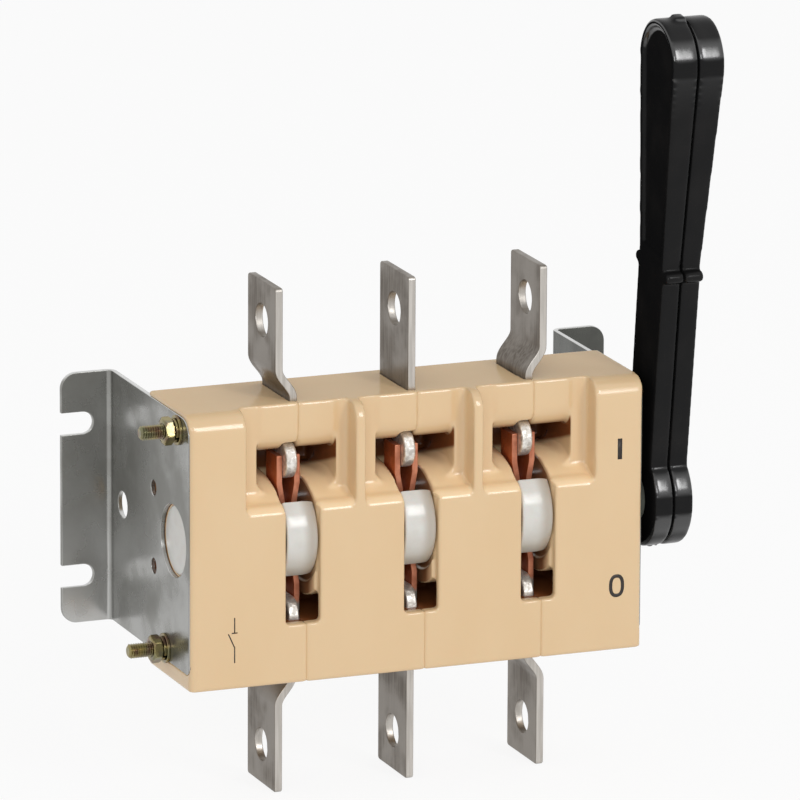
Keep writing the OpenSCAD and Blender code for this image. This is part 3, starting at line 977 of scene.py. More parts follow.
def arc(y: float, z: float, radius: float, start: float, end: float, steps: int) -> list[Span]:
    """Gives points of an arc.

    Args:
        y: The centre's first coordinate.
        z: The centre's second coordinate.
        radius: The arc's radius.
        start: Its first angle in degrees.
        end: Its last angle in degrees.
        steps: The number of its steps.

    Returns:
        The points in order.
    """
    turns = [math.radians(start + (end - start) * i / steps) for i in range(steps + 1)]
    return [(y + radius * math.cos(t), z + radius * math.sin(t)) for t in turns]


@lru_cache(maxsize=None)
def box(node: str) -> tuple[Vector, Vector]:
    """Gives a CAD node's box, looked up once.

    Args:
        node: The CAD node.

    Returns:
        Its low and high corners in metres.
    """
    low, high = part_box(node)
    return Vector(low), Vector(high)


def pole_x(pole: Pole) -> float:
    """Gives a pole's middle, which is the middle of its two knives.

    Args:
        pole: The pole.

    Returns:
        Its place along X.
    """
    first = box(f"knife_{pole.name.lower()}_a")
    second = box(f"knife_{pole.name.lower()}_b")
    return (first[0].x + second[1].x) / 2


def shaft_point() -> Vector:
    """Gives a point of the shaft's axis."""
    return Vector(frame["joints"][0]["pos_m"])


@dataclass
class Housing(Assembly):
    """The four moulded shells, with rounded edges, ledges and chamber fillets."""

    grain: float = 0.00072
    passes: int = 2
    ledge_passes: int = 6
    ledge_z: float = 0.0112
    ledge_h: float = 0.0120
    skin: float = 0.0006
    margin: float = 0.0120
    chamber: Span = (-0.0144, 0.0188)
    shroud_r: float = 0.0460
    shroud_depth: float = 0.0310
    shroud_z: float = -0.0228
    fillet_r: float = 0.0050
    fillet_from: float = 0.0099
    fillet_to: float = 0.0340
    root: float = 0.0010
    pocket: Span = (-0.0226, 0.0238)
    slot: Span = (-0.0057, 0.0086)
    nose_r: float = 0.0055
    nose_from: float = 13.0
    nose_to: float = 80.0
    cove_r: float = 0.0055
    overlap: float = 0.00028
    overlap_reach: float = 0.0016

    def at_ledge(self, point: Vector) -> bool:
        """Tells whether a point lies at the ledges under the pockets.

        Args:
            point: The point.

        Returns:
            Whether it does.
        """
        low, high = box("housing_left_end")[0], box("housing_right_end")[1]
        along = low.x + self.margin < point.x < high.x - self.margin
        level = self.skin < point.z - self.ledge_z < self.ledge_h
        return along and level and low.y + self.skin < point.y < low.y + self.fillet_from + 0.0008

    def fillet(self, wall: float, inward: int) -> Shape:
        """Builds the fillet between a chamber's side wall and the shroud.

        Args:
            wall: Place of the wall along X.
            inward: 1 on a left wall and -1 on a right one.

        Returns:
            The fillet's shape, which reaches a little into both.
        """
        front = box("housing_left_end")[0].y
        r = self.fillet_r
        shape = bmesh.new()
        loops = []
        for i in range(17):
            depth = self.fillet_from + (self.fillet_to - self.fillet_from) * i / 16
            z = self.shroud_z + math.sqrt(self.shroud_r ** 2 - (self.shroud_depth - depth) ** 2)
            section = [(-self.root, -self.root), (r, -self.root)] + arc(r, r, r, 270, 180, 10)
            section.append((-self.root, r))
            loops.append([shape.verts.new((wall + inward * x, front + depth, z + h)) for x, h in section])
        return skinned(shape, loops)

    def sills(self, part: str) -> list[tuple[Pole, Span]]:
        """Gives the stretches of ledge on a shell, as places along X from a pole's middle.

        Args:
            part: The shell's name.

        Returns:
            Each stretch with its pole.
        """
        before, after = (self.pocket[0], self.slot[0]), (self.slot[1], self.pocket[1])
        return {
            "left_end": [(Pole.LEFT, before)],
            "middle_left": [(Pole.LEFT, after), (Pole.MIDDLE, before)],
            "middle_right": [(Pole.MIDDLE, after), (Pole.RIGHT, before)],
            "right_end": [(Pole.RIGHT, after)],
        }[part]

    def bead(self, x0: float, x1: float) -> Shape:
        """Builds the rounded nose of a ledge.

        Args:
            x0: Its left end along X.
            x1: Its right end.

        Returns:
            Its shape.
        """
        front = box("housing_left_end")[0].y
        r, start = self.nose_r, math.radians(self.nose_from)
        y, z = front + r * math.cos(start), self.ledge_z - r * math.sin(start)
        outline = arc(y, z, r, 180 - self.nose_from, 180 - self.nose_to, 14)
        outline += [(y + r * 0.2, z), (y, z - r * 0.2), (front + self.skin, self.ledge_z - 0.0008)]
        return self.plate(outline, x0, x1)

    def cove(self, x0: float, x1: float) -> Shape:
        """Builds the hollow rounding between the shroud and the pocket's back face.

        Args:
            x0: Its left end along X.
            x1: Its right end.

        Returns:
            Its shape.
        """
        front = box("housing_left_end")[0].y
        r, back = self.cove_r, self.fillet_from + 0.0003
        y, z = self.shroud_depth, self.shroud_z
        depth = back - r
        height = z + math.sqrt((self.shroud_r + r) ** 2 - (y - depth) ** 2)
        lean = math.degrees(math.atan2(z - height, y - depth))
        outline = arc(front + depth, height, r, 0, lean, 10)
        wall = front + back + 0.0010
        outline += [(front + back - 0.0020, z + 0.0370), (wall, z + 0.0400), (wall, height)]
        return self.plate(outline, x0, x1)

    def close_seams(self, made: Shape, part: str) -> None:
        """Draws a shell's rounded joint faces together, so that the joints stay fine lines.

        Args:
            made: The shell's shape.
            part: Its name.
        """
        low, high = box(f"housing_{part}")
        ends = [(low.x, -1)] if part != "left_end" else []
        ends += [(high.x, 1)] if part != "right_end" else []
        for v in made.verts:
            for place, out in ends:
                v.co.x += out * self.overlap * max(0.0, 1 - abs(v.co.x - place) / self.overlap_reach)

    def build(self) -> None:
        """Builds the four shells from the CAD shells, with the fillets fused in."""
        left, right = self.chamber
        fillets = {
            "left_end": [(Pole.LEFT, left, 1)],
            "middle_left": [(Pole.LEFT, right, -1), (Pole.MIDDLE, left, 1)],
            "middle_right": [(Pole.MIDDLE, right, -1), (Pole.RIGHT, left, 1)],
            "right_end": [(Pole.RIGHT, right, -1)],
        }
        for part, places in fillets.items():
            shape = self.copy_of(f"housing_{part}")
            for pole, offset, inward in places:
                self.add(shape, self.fillet(pole_x(pole) + offset, inward))
            for pole, ends in self.sills(part):
                self.add(shape, self.bead(pole_x(pole) + ends[0], pole_x(pole) + ends[1]))
                inner = (ends[0], left) if ends[0] < 0 else (right, ends[1])
                self.add(shape, self.cove(pole_x(pole) + inner[0], pole_x(pole) + inner[1]))
            made = self.moulded(shape, self.grain, self.passes, self.at_ledge, self.ledge_passes)
            self.close_seams(made, part)
            self.put(f"shell_{part}", made, CreamMoulding(), "housing", (f"housing_{part}",))


@dataclass
class Terminals(Assembly):
    """The six bars with their contact heads."""

    bar_t: float = 0.0032
    bar_front: float = 0.0130
    bar_w: float = 0.0310
    bar_shift: float = 0.0019
    step: float = 0.0060
    step_from: float = 0.0012
    step_h: float = 0.0116
    root: float = 0.0060
    hole_d: float = 0.0135
    hole_edge: float = 0.0160
    corner: float = 0.0014
    edge: float = 0.0005
    head_t: float = 0.0048
    head_h: float = 0.0152
    head_back: float = 0.0310
    head_edge: float = 0.0010
    upper_head: Span = (0.0092, 0.0222)
    lower_head: Span = (0.0066, 0.0255)

    def bend(self, along: float) -> Span:
        """Gives the bar's sideways share and slope at a distance from the housing.

        Args:
            along: Distance beyond the housing's edge.

        Returns:
            The share of the step from 0 to 1, and its slope per metre.
        """
        t = min(max((along - self.step_from) / self.step_h, 0.0), 1.0)
        return t * t * (3 - 2 * t), 6 * t * (1 - t) / self.step_h

    def bar(self, pole: Pole, row: Row, node: str) -> Shape:
        """Builds a bar with its bolt hole and its sideways step.

        Args:
            pole: The bar's pole.
            row: The bar's row.
            node: Its CAD node.

        Returns:
            The bar's shape.
        """
        up = row.value
        low, high = box(node)
        shell = box("housing_middle_left")
        front = shell[0].y + self.bar_front
        back = front + self.bar_w
        edge_z = shell[1].z if up > 0 else shell[0].z
        end_z = high.z if up > 0 else low.z
        c = self.corner
        outline = [(front, edge_z - up * self.root), (back, edge_z - up * self.root)]
        outline += arc(back - c, end_z - up * c, c, 0, up * 90, 4)
        outline += arc(front + c, end_z - up * c, c, up * 90, up * 180, 4)
        hole = arc((front + back) / 2, end_z - up * self.hole_edge, self.hole_d / 2, 0, 360, 48)[:-1]
        shape = bmesh.new()
        edges = []
        for loop in (outline, hole):
            verts = [shape.verts.new((0, y, z)) for y, z in loop]
            edges += [shape.edges.new((verts[i - 1], verts[i])) for i in range(len(verts))]
        bmesh.ops.triangle_fill(shape, edges=edges, use_beauty=True)
        for i in range(13):
            z = edge_z + up * (self.step_from + self.step_h * i / 12)
            parts = shape.verts[:] + shape.edges[:] + shape.faces[:]
            bmesh.ops.bisect_plane(shape, geom=parts, plane_co=(0, 0, z), plane_no=(0, 0, 1))
        bent = self.step_from + self.step_h + 1e-5
        straight = [v for v in shape.verts if (v.co.z - edge_z) * up > bent]
        inner = set(straight)
        lines = [e for e in shape.edges if inner.issuperset(e.verts)]
        bmesh.ops.dissolve_limit(shape, angle_limit=math.radians(0.1), verts=straight, edges=lines)
        rear = set(shape.verts)
        bmesh.ops.extrude_face_region(shape, geom=shape.faces[:], use_keep_orig=True)
        x0 = pole_x(pole) + self.bar_shift
        for v in shape.verts:
            share, slope = self.bend((v.co.z - edge_z) * up)
            half = self.bar_t / 2 * math.hypot(1.0, slope * self.step * pole.value)
            v.co.x = x0 + share * self.step * pole.value + (-half if v in rear else half)
        return self.weigh(shape, 50.0)

    def head(self, pole: Pole, row: Row) -> Shape:
        """Builds a contact head with its half-round nose.

        Args:
            pole: The head's pole.
            row: The head's row.

        Returns:
            The head's shape.
        """
        up = row.value
        nose, tip = self.upper_head if up > 0 else self.lower_head
        front = box("housing_middle_left")[0].y
        r = self.head_h / 2
        z = up * (tip + r)
        outline = arc(front + nose + r, z, r, 90, 270, 20)
        outline += [(front + self.head_back, z - r), (front + self.head_back, z + r)]
        x = pole_x(pole)
        return self.weigh(self.plate(outline, x - self.head_t / 2, x + self.head_t / 2))

    def build(self) -> None:
        """Builds the bars and the heads of both rows."""
        for row in Row:
            for pole in Pole:
                place = f"{row.name.lower()}_{pole.name.lower()}"
                node = f"terminal_{place}"
                bar = self.bar(pole, row, node)
                self.put(f"bar_{place}", bar, TinnedBar(), "terminal", (node,), self.edge, 3)
                head = self.head(pole, row)
                self.put(f"head_{place}", head, SilverHead(), "terminal", (), self.head_edge, 4)


@dataclass
class Brackets(Assembly):
    """The two sheet brackets."""

    edge: float = 0.0004

    def build(self) -> None:
        """Builds both brackets from the CAD sheets, with their cut edges rounded."""
        for side in ("left", "right"):
            shape = self.weigh(self.copy_of(f"bracket_{side}"))
            finish = ZincSheet() if side == "left" else DullZincSheet()
            self.put(f"sheet_{side}", shape, finish, "bracket", (f"bracket_{side}",), self.edge, 2)


@dataclass
class TieBolts(Assembly):
    """The two long bolts with their nuts and washers."""

    pitch: float = 0.0010
    root_r: float = 0.00240
    crest_r: float = 0.00296
    flats: float = 0.0100
    upper_turn: float = 19.0
    lower_turn: float = 10.0
    spring_rise: float = 0.0003
    tip: float = 0.0008
    blunt: float = 0.80
    crisp: float = 32.0

    def hexagon(self, turn: float, face_r: float, ends: Sequence[float]) -> Radius:
        """Gives the radius of a hexagon whose corners are turned off at its ends.

        Args:
            turn: Angle of a flat, in degrees from the front.
            face_r: Radius of the turned end faces.
            ends: Places of the end faces that are turned off.

        Returns:
            The radius at an angle and a place.
        """
        def radius(angle: float, x: float) -> float:
            """Gives the hexagon's radius.

            Args:
                angle: The angle from the front.
                x: The place along X.

            Returns:
                The radius there.
            """
            off = (angle - math.pi + math.radians(turn)) % (math.pi / 3)
            off = min(off, math.pi / 3 - off)
            flat = self.flats / 2 / math.cos(off)
            return min([flat] + [face_r + abs(x - e) * 1.8 for e in ends])
        return radius

    def thread(self, angle: float, x: float) -> float:
        """Gives the screw thread's radius.

        Args:
            angle: The angle from the front.
            x: The place along X.

        Returns:
            The radius there.
        """
        phase = (x / self.pitch + angle / (2 * math.pi)) % 1.0
        wave = min(phase, 1 - phase) * 2
        return self.root_r + (self.crest_r - self.root_r) * min(max(wave * 1.25 - 0.12, 0.0), 1.0)

    def bolt(self, level: str) -> Shape:
        """Builds a bolt with a threaded left end and a hexagon head on the right.

        Args:
            level: The bolt's name, upper or lower.

        Returns:
            The bolt's shape.
        """
        low, high = box(f"tie_bolt_{level}")
        centre = (low + high) / 2
        seat = box("housing_right_end")[1].x
        length = box("housing_left_end")[0].x - low.x + 0.002
        steps = int(length / self.pitch * 12)
        end_r = self.root_r * self.blunt

        def pointed(angle: float, x: float) -> float:
            """Gives the thread's radius, turned down at the bolt's tip."""
            return min(self.thread(angle, x), end_r + (x - low.x) / self.tip * (self.crest_r - end_r))

        rows = [(low.x, even(end_r))]
        for i in range(steps + 1):
            rows.append((low.x + 0.0001 + (length - 0.0001) * i / steps, pointed))
        shank = even(self.crest_r)
        face_r = self.flats / 2 * 0.97
        head = self.hexagon(0.0, face_r, (high.x,))
        rows += [(low.x + length + 0.0004, shank), (seat, shank), (seat, head)]
        rows += [(high.x - inset, head) for inset in (0.0010, 0.0005, 0.0002, 0.0)]
        return self.turned(rows, centre, 48)

    def nut(self, level: str) -> Shape:
        """Builds a hexagon nut with turned ends.

        Args:
            level: The nut's name, upper or lower.

        Returns:
            The nut's shape.
        """
        low, high = box(f"nut_{level}")
        turn = self.upper_turn if level == "upper" else self.lower_turn
        hexa = self.hexagon(turn, self.flats / 2 * 0.93, (low.x, high.x))
        bore = even(self.crest_r + 0.00004)
        mouth = even(self.crest_r + 0.0005)
        w = high.x - low.x
        shares = (0, 0.04, 0.08, 0.13, 0.2, 0.3, 0.7, 0.8, 0.87, 0.92, 0.96, 1)
        rows = [(low.x, mouth)] + [(low.x + w * share, hexa) for share in shares]
        rows += [(high.x, mouth), (high.x - 0.0005, bore), (low.x + 0.0005, bore)]
        return self.turned(rows, (low + high) / 2, 96, True)

    def washer(self, level: str) -> Shape:
        """Builds a flat washer with softened rims.

        Args:
            level: The washer's name, upper or lower.

        Returns:
            The washer's shape.
        """
        low, high = box(f"washer_{level}")
        outer = (high.z - low.z) / 2
        soft = 0.0002
        rim = even(outer)
        shoulder = even(outer - soft)
        bore = even(self.crest_r + 0.0001)
        rows = [(low.x, bore), (low.x, shoulder), (low.x + soft, rim)]
        rows += [(high.x - soft, rim), (high.x, shoulder), (high.x, bore)]
        return self.turned(rows, (low + high) / 2, 64, True)

    def spring(self, level: str) -> Shape:
        """Builds a split spring washer, whose ends stand apart.

        Args:
            level: The washer's name, upper or lower.

        Returns:
            The washer's shape.
        """
        low, high = box(f"spring_washer_{level}")
        centre = (low + high) / 2
        inner = self.crest_r + 0.0001
        outer = (high.z - low.z) / 2
        half = (high.x - low.x) / 2 - self.spring_rise / 2
        soft = 0.00015
        section = [(inner, -half), (outer - soft, -half), (outer, soft - half)]
        section += [(outer, half - soft), (outer - soft, half), (inner, half)]
        shape = bmesh.new()
        loops = []
        steps = 60
        for i in range(steps + 1):
            share = i / steps
            angle = math.radians(215 + 348 * share)
            lift = self.spring_rise * (share - 0.5)
            loop = []
            for r, x in section:
                y = centre.y + r * math.cos(angle)
                z = centre.z + r * math.sin(angle)
                loop.append(shape.verts.new((centre.x + x + lift, y, z)))
            loops.append(loop)
        return skinned(shape, loops)

    def build(self) -> None:
        """Builds both bolts with what sits on them."""
        for level in ("upper", "lower"):
            kinds = (("bolt", "tie_bolt", self.bolt), ("hex_nut", "nut", self.nut),
                     ("flat_washer", "washer", self.washer), ("split_washer", "spring_washer", self.spring))
            for kind, node, make in kinds:
                stands_for = (f"{node}_{level}",)
                piece = self.put(f"{kind}_{level}", make(level), YellowZinc(), "fastener", stands_for)
                sharpen(piece, self.crisp)


def sharpen(piece: bpy.types.Object, angle: float) -> None:
    """Keeps a turned piece's edges crisp where its faces meet at more than an angle.

    Args:
        piece: The piece.
        angle: The least angle of a crisp edge, in degrees.
    """
    shape = bmesh.new()
    shape.from_mesh(piece.data)
    for edge in shape.edges:
        edge.smooth = edge.calc_face_angle(0.0) < math.radians(angle)
    shape.to_mesh(piece.data)
    shape.free()


@dataclass
class KnifeMechanism(Assembly):
    """The shaft with its three drums and three pairs of knives."""

    body: str = "rotor"
    drum_r: float = 0.0199
    shield_t: float = 0.0034
    shield_up: float = 0.0150
    shield_down: float = 0.0157
    rim: float = 0.0008
    shoulder: float = 0.0052
    shoulder_r: float = 0.0115
    core_rise: float = 0.0080
    core_inset: float = 0.0006
    core_edge: float = 0.0008
    ridge: float = 0.0001
    soft: float = 0.0004
    back_trim: float = 0.0002
    knife_edge: float = 0.0004
    shaft_edge: float = 0.0005

    def shield_section(self, x0: float, x1: float) -> list[Span]:
        """Gives the shield's section as (x, radius) points, with rounded outer rims.

        Args:
            x0: The drum's left side.
            x1: The drum's right side.

        Returns:
            The section's points in order.
        """
        inner = self.drum_r - self.shield_t
        r = self.rim
        left = arc(x0 + r, self.drum_r - r, r, 180, 90, 6)
        turn = math.degrees(math.asin(self.shoulder / self.shoulder_r))
        right = arc(x1 - self.shoulder, self.drum_r - self.shoulder_r, self.shoulder_r, 90, 90 - turn, 12)
        corner = right.pop()
        middle = [(x0 + r + (x1 - self.shoulder - x0 - r) * i / 4, self.drum_r) for i in range(1, 4)]
        soft = self.soft
        edge = [(corner[0] - soft / 3, corner[1]), (corner[0], corner[1] - soft), (x1, inner)]
        return [(x0, inner)] + left + middle + right + edge

    def shield(self, x0: float, x1: float) -> Shape:
        """Builds a drum's curved shield with level, rounded ends and a faint parting ridge.

        Args:
            x0: The drum's left side.
            x1: The drum's right side.

        Returns:
            The shield's shape.
        """
        axis = shaft_point()
        section = self.shield_section(x0, x1)
        end = self.soft / (2 * self.shield_up)
        turns = [0.0, end / 2, end] + [i / 40 for i in range(1, 40)] + [1 - end, 1 - end / 2, 1.0]
        mid_x, mid_r = (x0 + x1) / 2, self.drum_r - self.shield_t / 2
        shape = bmesh.new()
        loops = []
        for share in turns:
            loop = []
            for x, r in section:
                first = -math.asin(min(self.shield_down / r, 1.0))
                last = math.asin(self.shield_up / self.drum_r)
                angle = first + (last - first) * share
                near = max(0.0, 1 - min(share, 1 - share) / end)
                trim = self.soft * (1 - math.sqrt(1 - near ** 2))
                bump = self.ridge if abs(angle) < 0.022 and r > self.drum_r - self.rim / 2 else 0.0
                place = x - math.copysign(min(trim, abs(x - mid_x)), x - mid_x)
                out = r + bump - math.copysign(trim, r - mid_r)
                y = axis.y - out * math.cos(angle)
                z = axis.z + out * math.sin(angle)
                loop.append(shape.verts.new((place, y, z)))
            loops.append(loop)
        return skinned(shape, loops)

    def core(self, x0: float, x1: float) -> Shape:
        """Builds a drum's core, which holds the knives.

        Args:
            x0: The drum's left side.
            x1: The drum's right side.

        Returns:
            The core's shape.
        """
        axis = shaft_point()
        r = self.drum_r - self.shield_t / 2
        half = math.degrees(math.asin(self.core_rise / r))
        outline = arc(axis.y, axis.z, self.drum_r - self.back_trim, -half, half, 8)
        outline += arc(axis.y, axis.z, r, 180 - half, 180 + half, 8)
        return self.weigh(self.plate(outline, x0, x1))

    def build(self) -> None:
        """Builds the drums, the knives and the parts of the shaft."""
        for pole in Pole:
            name = pole.name.lower()
            low, high = box(f"drum_{name}")
            self.put(f"shield_{name}", self.shield(low.x, high.x), WhiteNylon(), "drum", (f"drum_{name}",))
            core = self.core(low.x + self.core_inset, high.x - self.core_inset)
            self.put(f"core_{name}", core, WhiteNylon(), "drum", (), self.core_edge, 2)
            for hand in ("a", "b"):
                node = f"knife_{name}_{hand}"
                shape = self.weigh(self.copy_of(node))
                self.put(f"blade_{name}_{hand}", shape, BareCopper(), "knife", (node,), self.knife_edge, 2)
        for part in ("end_left", "link_left", "link_right", "end_right"):
            node = f"shaft_{part}"
            finish, slot = (GreySpindle(), "spindle") if part == "end_right" else (WhiteNylon(), "drum")
            shape = self.weigh(self.copy_of(node))
            self.put(f"axle_{part}", shape, finish, slot, (node,), self.shaft_edge, 2)


@dataclass
class Handle(Assembly):
    """The side handle, moulded in two halves, and the screw that holds it."""

    body: str = "rotor"
    grain: float = 0.00055
    passes: int = 18
    seam: float = 0.00006
    groove: float = 0.00034
    joint_reach: float = 0.0060
    screw_socket: float = 0.0040
    crisp: float = 32.0

    def half(self, side: int) -> Shape:
        """Builds one half of the handle, rounded all round, also along the joint.

        Args:
            side: -1 for the left half and 1 for the right one.

        Returns:
            The half's shape.
        """
        low, high = box("handle")
        middle = (low.x + high.x) / 2
        shape = self.copy_of("handle")
        geom = shape.verts[:] + shape.edges[:] + shape.faces[:]
        cut = (middle + side * self.groove, 0, 0)
        bmesh.ops.bisect_plane(shape, geom=geom, plane_co=cut, plane_no=(-side, 0, 0), clear_outer=True)
        rim = [e for e in shape.edges if e.is_boundary]
        bmesh.ops.contextual_create(shape, geom=rim)
        grown = self.moulded(shape, self.grain, self.passes)
        for v in grown.verts:
            near = max(0.0, 1 - abs(v.co.x - middle) / self.joint_reach)
            v.co.x += -side * (self.groove - self.seam) * near
        return grown

    def screw(self) -> Shape:
        """Builds the socket-head screw.

        Returns:
            The screw's shape.
        """
        low, high = box("handle_screw")
        centre = (low + high) / 2
        head_r = (high.z - low.z) / 2
        seat = high.x - 0.0030

        def socket(angle: float, x: float) -> float:
            """Gives the radius of the screw's hexagon socket."""
            off = angle % (math.pi / 3)
            return self.screw_socket / 2 / math.cos(min(off, math.pi / 3 - off))

        def mouth(angle: float, x: float) -> float:
            """Gives the radius of the socket's slightly wider mouth."""
            return socket(angle, x) + 0.0001

        rows = [(low.x, even(0.0021)), (low.x + 0.0005, even(0.0025)), (seat, even(0.0025))]
        rows += [(seat, even(head_r - 0.0002)), (seat + 0.0002, even(head_r))]
        rows += [(high.x - 0.0005, even(head_r)), (high.x - 0.00015, even(head_r - 0.00015))]
        rows += [(high.x, even(head_r - 0.0005)), (high.x, mouth)]
        rows += [(high.x - 0.0001, socket), (high.x - 0.0018, socket), (high.x - 0.0024, even(0.0002))]
        return self.turned(rows, centre, 72)

    def build(self) -> None:
        """Builds the handle from the CAD handle, and its screw."""
        self.put("handle_half_left", self.half(-1), BlackMoulding(), "handle", ("handle",))
        self.put("handle_half_right", self.half(1), BlackMoulding(), "handle")
        piece = self.put("socket_screw", self.screw(), BrightSteel(), "screw", ("handle_screw",))
        sharpen(piece, self.crisp)


@dataclass
class Marks(Assembly):
    """The stamped on and off marks and the plain switch symbol."""

    thick: float = 0.00006
    bar: tuple[float, ...] = (0.1917, 0.1936, 0.0212, 0.0297)
    ring: tuple[float, ...] = (0.1918, -0.0309, 0.00325)
    ring_h: float = 0.0047
    stroke: float = 0.0014
    symbol: tuple[float, ...] = (0.0291, -0.0467, -0.0283)
    line: float = 0.00045
    squareness: float = 0.8

    def strip(self, shape: Shape, points: Points, width: float, closed: bool = False) -> None:
        """Adds a stroke of ink, which lies on the front face and reaches a little into it.

        Args:
            shape: The shape that it is added to.
            points: The stroke's middle line as (x, z) points.
            width: The stroke's width.
            closed: Whether the stroke runs back to its start.
        """
        front = box("housing_left_end")[0].y
        y0, y1 = front - self.thick, front + self.thick / 2
        count = len(points)
        loops = []
        for i, (x, z) in enumerate(points):
            before = points[i - 1] if i or closed else points[i]
            after = points[(i + 1) % count] if i < count - 1 or closed else points[i]
            run = Vector((after[0] - before[0], after[1] - before[1])).normalized()
            side = Vector((-run.y, run.x)) * width / 2
            corners = ((-1, y0), (1, y0), (1, y1), (-1, y1))
            loops.append([shape.verts.new((x + s * side.x, y, z + s * side.y)) for s, y in corners])
        skinned(shape, loops, closed)

    def squarer(self, value: float) -> float:
        """Draws a point of a circle out towards a rounded rectangle."""
        return math.copysign(abs(value) ** self.squareness, value)

    def build(self) -> None:
        """Builds the on bar, the off ring and the symbol."""
        x0, x1, z0, z1 = self.bar
        on = bmesh.new()
        self.strip(on, [((x0 + x1) / 2, z0), ((x0 + x1) / 2, z1)], x1 - x0)
        self.put("mark_on", on, DarkInk(), "")
        x, z, half = self.ring
        w = half - self.stroke / 2
        tall = self.ring_h - self.stroke / 2
        turns = [2 * math.pi * i / 48 for i in range(48)]
        oval = [(x + w * self.squarer(math.cos(a)), z + tall * self.squarer(math.sin(a))) for a in turns]
        off = bmesh.new()
        self.strip(off, oval, self.stroke, True)
        self.put("mark_off", off, DarkInk(), "")
        x, low, high = self.symbol
        mid = (low + high) / 2
        sign = bmesh.new()
        self.strip(sign, [(x, low), (x, mid - 0.003)], self.line)
        self.strip(sign, [(x, mid - 0.003), (x - 0.0026, mid + 0.0028)], self.line)
        self.strip(sign, [(x, mid + 0.003), (x, high)], self.line)
        self.strip(sign, [(x - 0.0012, mid + 0.003), (x + 0.0012, mid + 0.003)], self.line)
        self.put("mark_symbol", sign, DarkInk(), "")


@dataclass(frozen=True)
class Lamp:
    """A soft rectangular lamp, with its place, its width and height, and its power in watts."""

    name: str
    place: Place
    size: Span
    power: float

    def hang(self, aim: Place) -> None:
        """Hangs the lamp.

        Args:
            aim: The point that it faces.
        """
        light = bpy.data.lights.new(self.name, "AREA")
        light.shape = "RECTANGLE"
        light.size, light.size_y = self.size
        light.energy = self.power
        holder = bpy.data.objects.new(self.name, light)
        holder.location = self.place
        way = Vector(aim) - Vector(self.place)
        holder.rotation_euler = way.to_track_quat("-Z", "Y").to_euler()
        bpy.context.scene.collection.objects.link(holder)


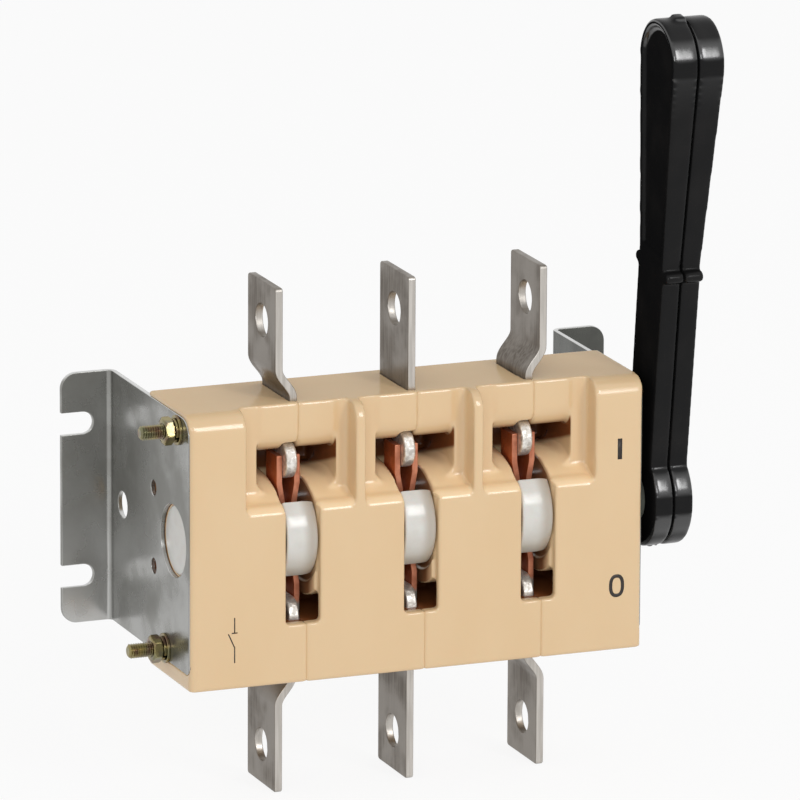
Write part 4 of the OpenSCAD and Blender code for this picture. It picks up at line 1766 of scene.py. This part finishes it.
@dataclass
class Studio:
    """The pale floor, the soft lights and the white surroundings."""

    floor_drop: float = 0.0002
    ambient: float = 0.62
    floor_tone: Colour = (0.93, 0.93, 0.93)
    floor_white: float = 0.88
    floor_half: float = 6.0
    target: Place = (0.1, -0.07, 0.03)
    lamps: tuple[Lamp, ...] = (
        Lamp("key_lamp", (-0.75, -2.05, 0.85), (0.9, 0.6), 8.3),
        Lamp("front_lamp", (0.8245, -1.90, 1.121), (0.44, 0.85), 11.0),
    )

    def ray_share(self, tree: bpy.types.NodeTree) -> Socket:
        """Gives 1 for rays from the camera and for mirror-like and see-through rays.

        Args:
            tree: The nodes that it is added to.

        Returns:
            The value's output.
        """
        path = tree.nodes.new("ShaderNodeLightPath")
        first = tree.nodes.new("ShaderNodeMath")
        second = tree.nodes.new("ShaderNodeMath")
        first.operation = second.operation = "MAXIMUM"
        tree.links.new(path.outputs["Is Camera Ray"], first.inputs[0])
        tree.links.new(path.outputs["Is Glossy Ray"], first.inputs[1])
        tree.links.new(first.outputs["Value"], second.inputs[0])
        tree.links.new(path.outputs["Is Transmission Ray"], second.inputs[1])
        return second.outputs["Value"]

    def world(self) -> None:
        """Makes white surroundings that light the object at a plain level."""
        world = bpy.data.worlds.new("studio")
        bpy.context.scene.world = world
        world.use_nodes = True
        tree = world.node_tree
        soft = tree.nodes["Background"]
        soft.inputs["Color"].default_value = (1.0, 1.0, 1.0, 1.0)
        soft.inputs["Strength"].default_value = self.ambient
        white = tree.nodes.new("ShaderNodeBackground")
        white.inputs["Color"].default_value = (1.0, 1.0, 1.0, 1.0)
        white.inputs["Strength"].default_value = 1.0
        mix = tree.nodes.new("ShaderNodeMixShader")
        tree.links.new(self.ray_share(tree), mix.inputs["Fac"])
        tree.links.new(soft.outputs["Background"], mix.inputs[1])
        tree.links.new(white.outputs["Background"], mix.inputs[2])
        tree.links.new(mix.outputs["Shader"], tree.nodes["World Output"].inputs["Surface"])

    def floor(self) -> None:
        """Lays the pale floor under the object."""
        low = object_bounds()[0]
        mesh = bpy.data.meshes.new("floor")
        z = low[2] - self.floor_drop
        h = self.floor_half
        mesh.from_pydata([(-h, -h, z), (h, -h, z), (h, h, z), (-h, h, z)], [], [(0, 1, 2, 3)])
        plane = bpy.data.objects.new("floor", mesh)
        bpy.context.scene.collection.objects.link(plane)
        paint = bpy.data.materials.new("floor_paint")
        paint.use_nodes = True
        tree = paint.node_tree
        body = tree.nodes["Principled BSDF"]
        body.inputs["Base Color"].default_value = (*self.floor_tone, 1.0)
        body.inputs["Roughness"].default_value = 0.8
        glow = tree.nodes.new("ShaderNodeEmission")
        glow.inputs["Color"].default_value = (1.0, 1.0, 1.0, 1.0)
        mix = tree.nodes.new("ShaderNodeMixShader")
        part = tree.nodes.new("ShaderNodeMath")
        part.operation = "MULTIPLY"
        part.inputs[1].default_value = self.floor_white
        tree.links.new(self.ray_share(tree), part.inputs[0])
        tree.links.new(part.outputs["Value"], mix.inputs["Fac"])
        tree.links.new(body.outputs["BSDF"], mix.inputs[1])
        tree.links.new(glow.outputs["Emission"], mix.inputs[2])
        tree.links.new(mix.outputs["Shader"], tree.nodes["Material Output"].inputs["Surface"])
        plane.data.materials.append(paint)
        plane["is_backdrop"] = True

    def build(self) -> None:
        """Sets up the surroundings, the floor and the lamps."""
        self.world()
        self.floor()
        for lamp in self.lamps:
            lamp.hang(self.target)


@dataclass
class Camera:
    """The long-lens camera at the object's left front."""

    azimuth: float = 21.558
    elevation: float = 14.333
    roll: float = -0.2784
    distance: float = 3.725916
    lens: float = 424.35
    aim: Place = (0.104431, -0.078490, 0.049790)

    def build(self) -> None:
        """Places the camera and makes it the scene's own."""
        a, e, r = (math.radians(v) for v in (self.azimuth, self.elevation, self.roll))
        right = Vector((math.cos(a), -math.sin(a), 0.0))
        ahead = Vector((math.sin(a) * math.cos(e), math.cos(a) * math.cos(e), -math.sin(e)))
        up = Vector((math.sin(a) * math.sin(e), math.cos(a) * math.sin(e), math.cos(e)))
        x = right * math.cos(r) - up * math.sin(r)
        y = right * math.sin(r) + up * math.cos(r)
        data = bpy.data.cameras.new("camera")
        data.lens = self.lens
        data.sensor_width = 36.0
        data.clip_end = 20.0
        camera = bpy.data.objects.new("camera", data)
        turn = Matrix((x, y, -ahead)).transposed().to_4x4()
        camera.matrix_world = Matrix.Translation(Vector(self.aim) - ahead * self.distance) @ turn
        bpy.context.scene.collection.objects.link(camera)
        bpy.context.scene.camera = camera


def main() -> None:
    """Builds the sub-assemblies in order."""
    logging.basicConfig(level=logging.INFO, format="%(name)s: %(message)s")
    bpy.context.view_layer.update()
    Studio().build()
    Camera().build()
    for part in (Housing(), Terminals(), Brackets(), TieBolts(), KnifeMechanism(), Handle(), Marks()):
        LOG.info("building %s", type(part).__name__)
        part.build()
    bpy.context.scene.view_settings.view_transform = "Standard"


if __name__ == "__main__":
    main()
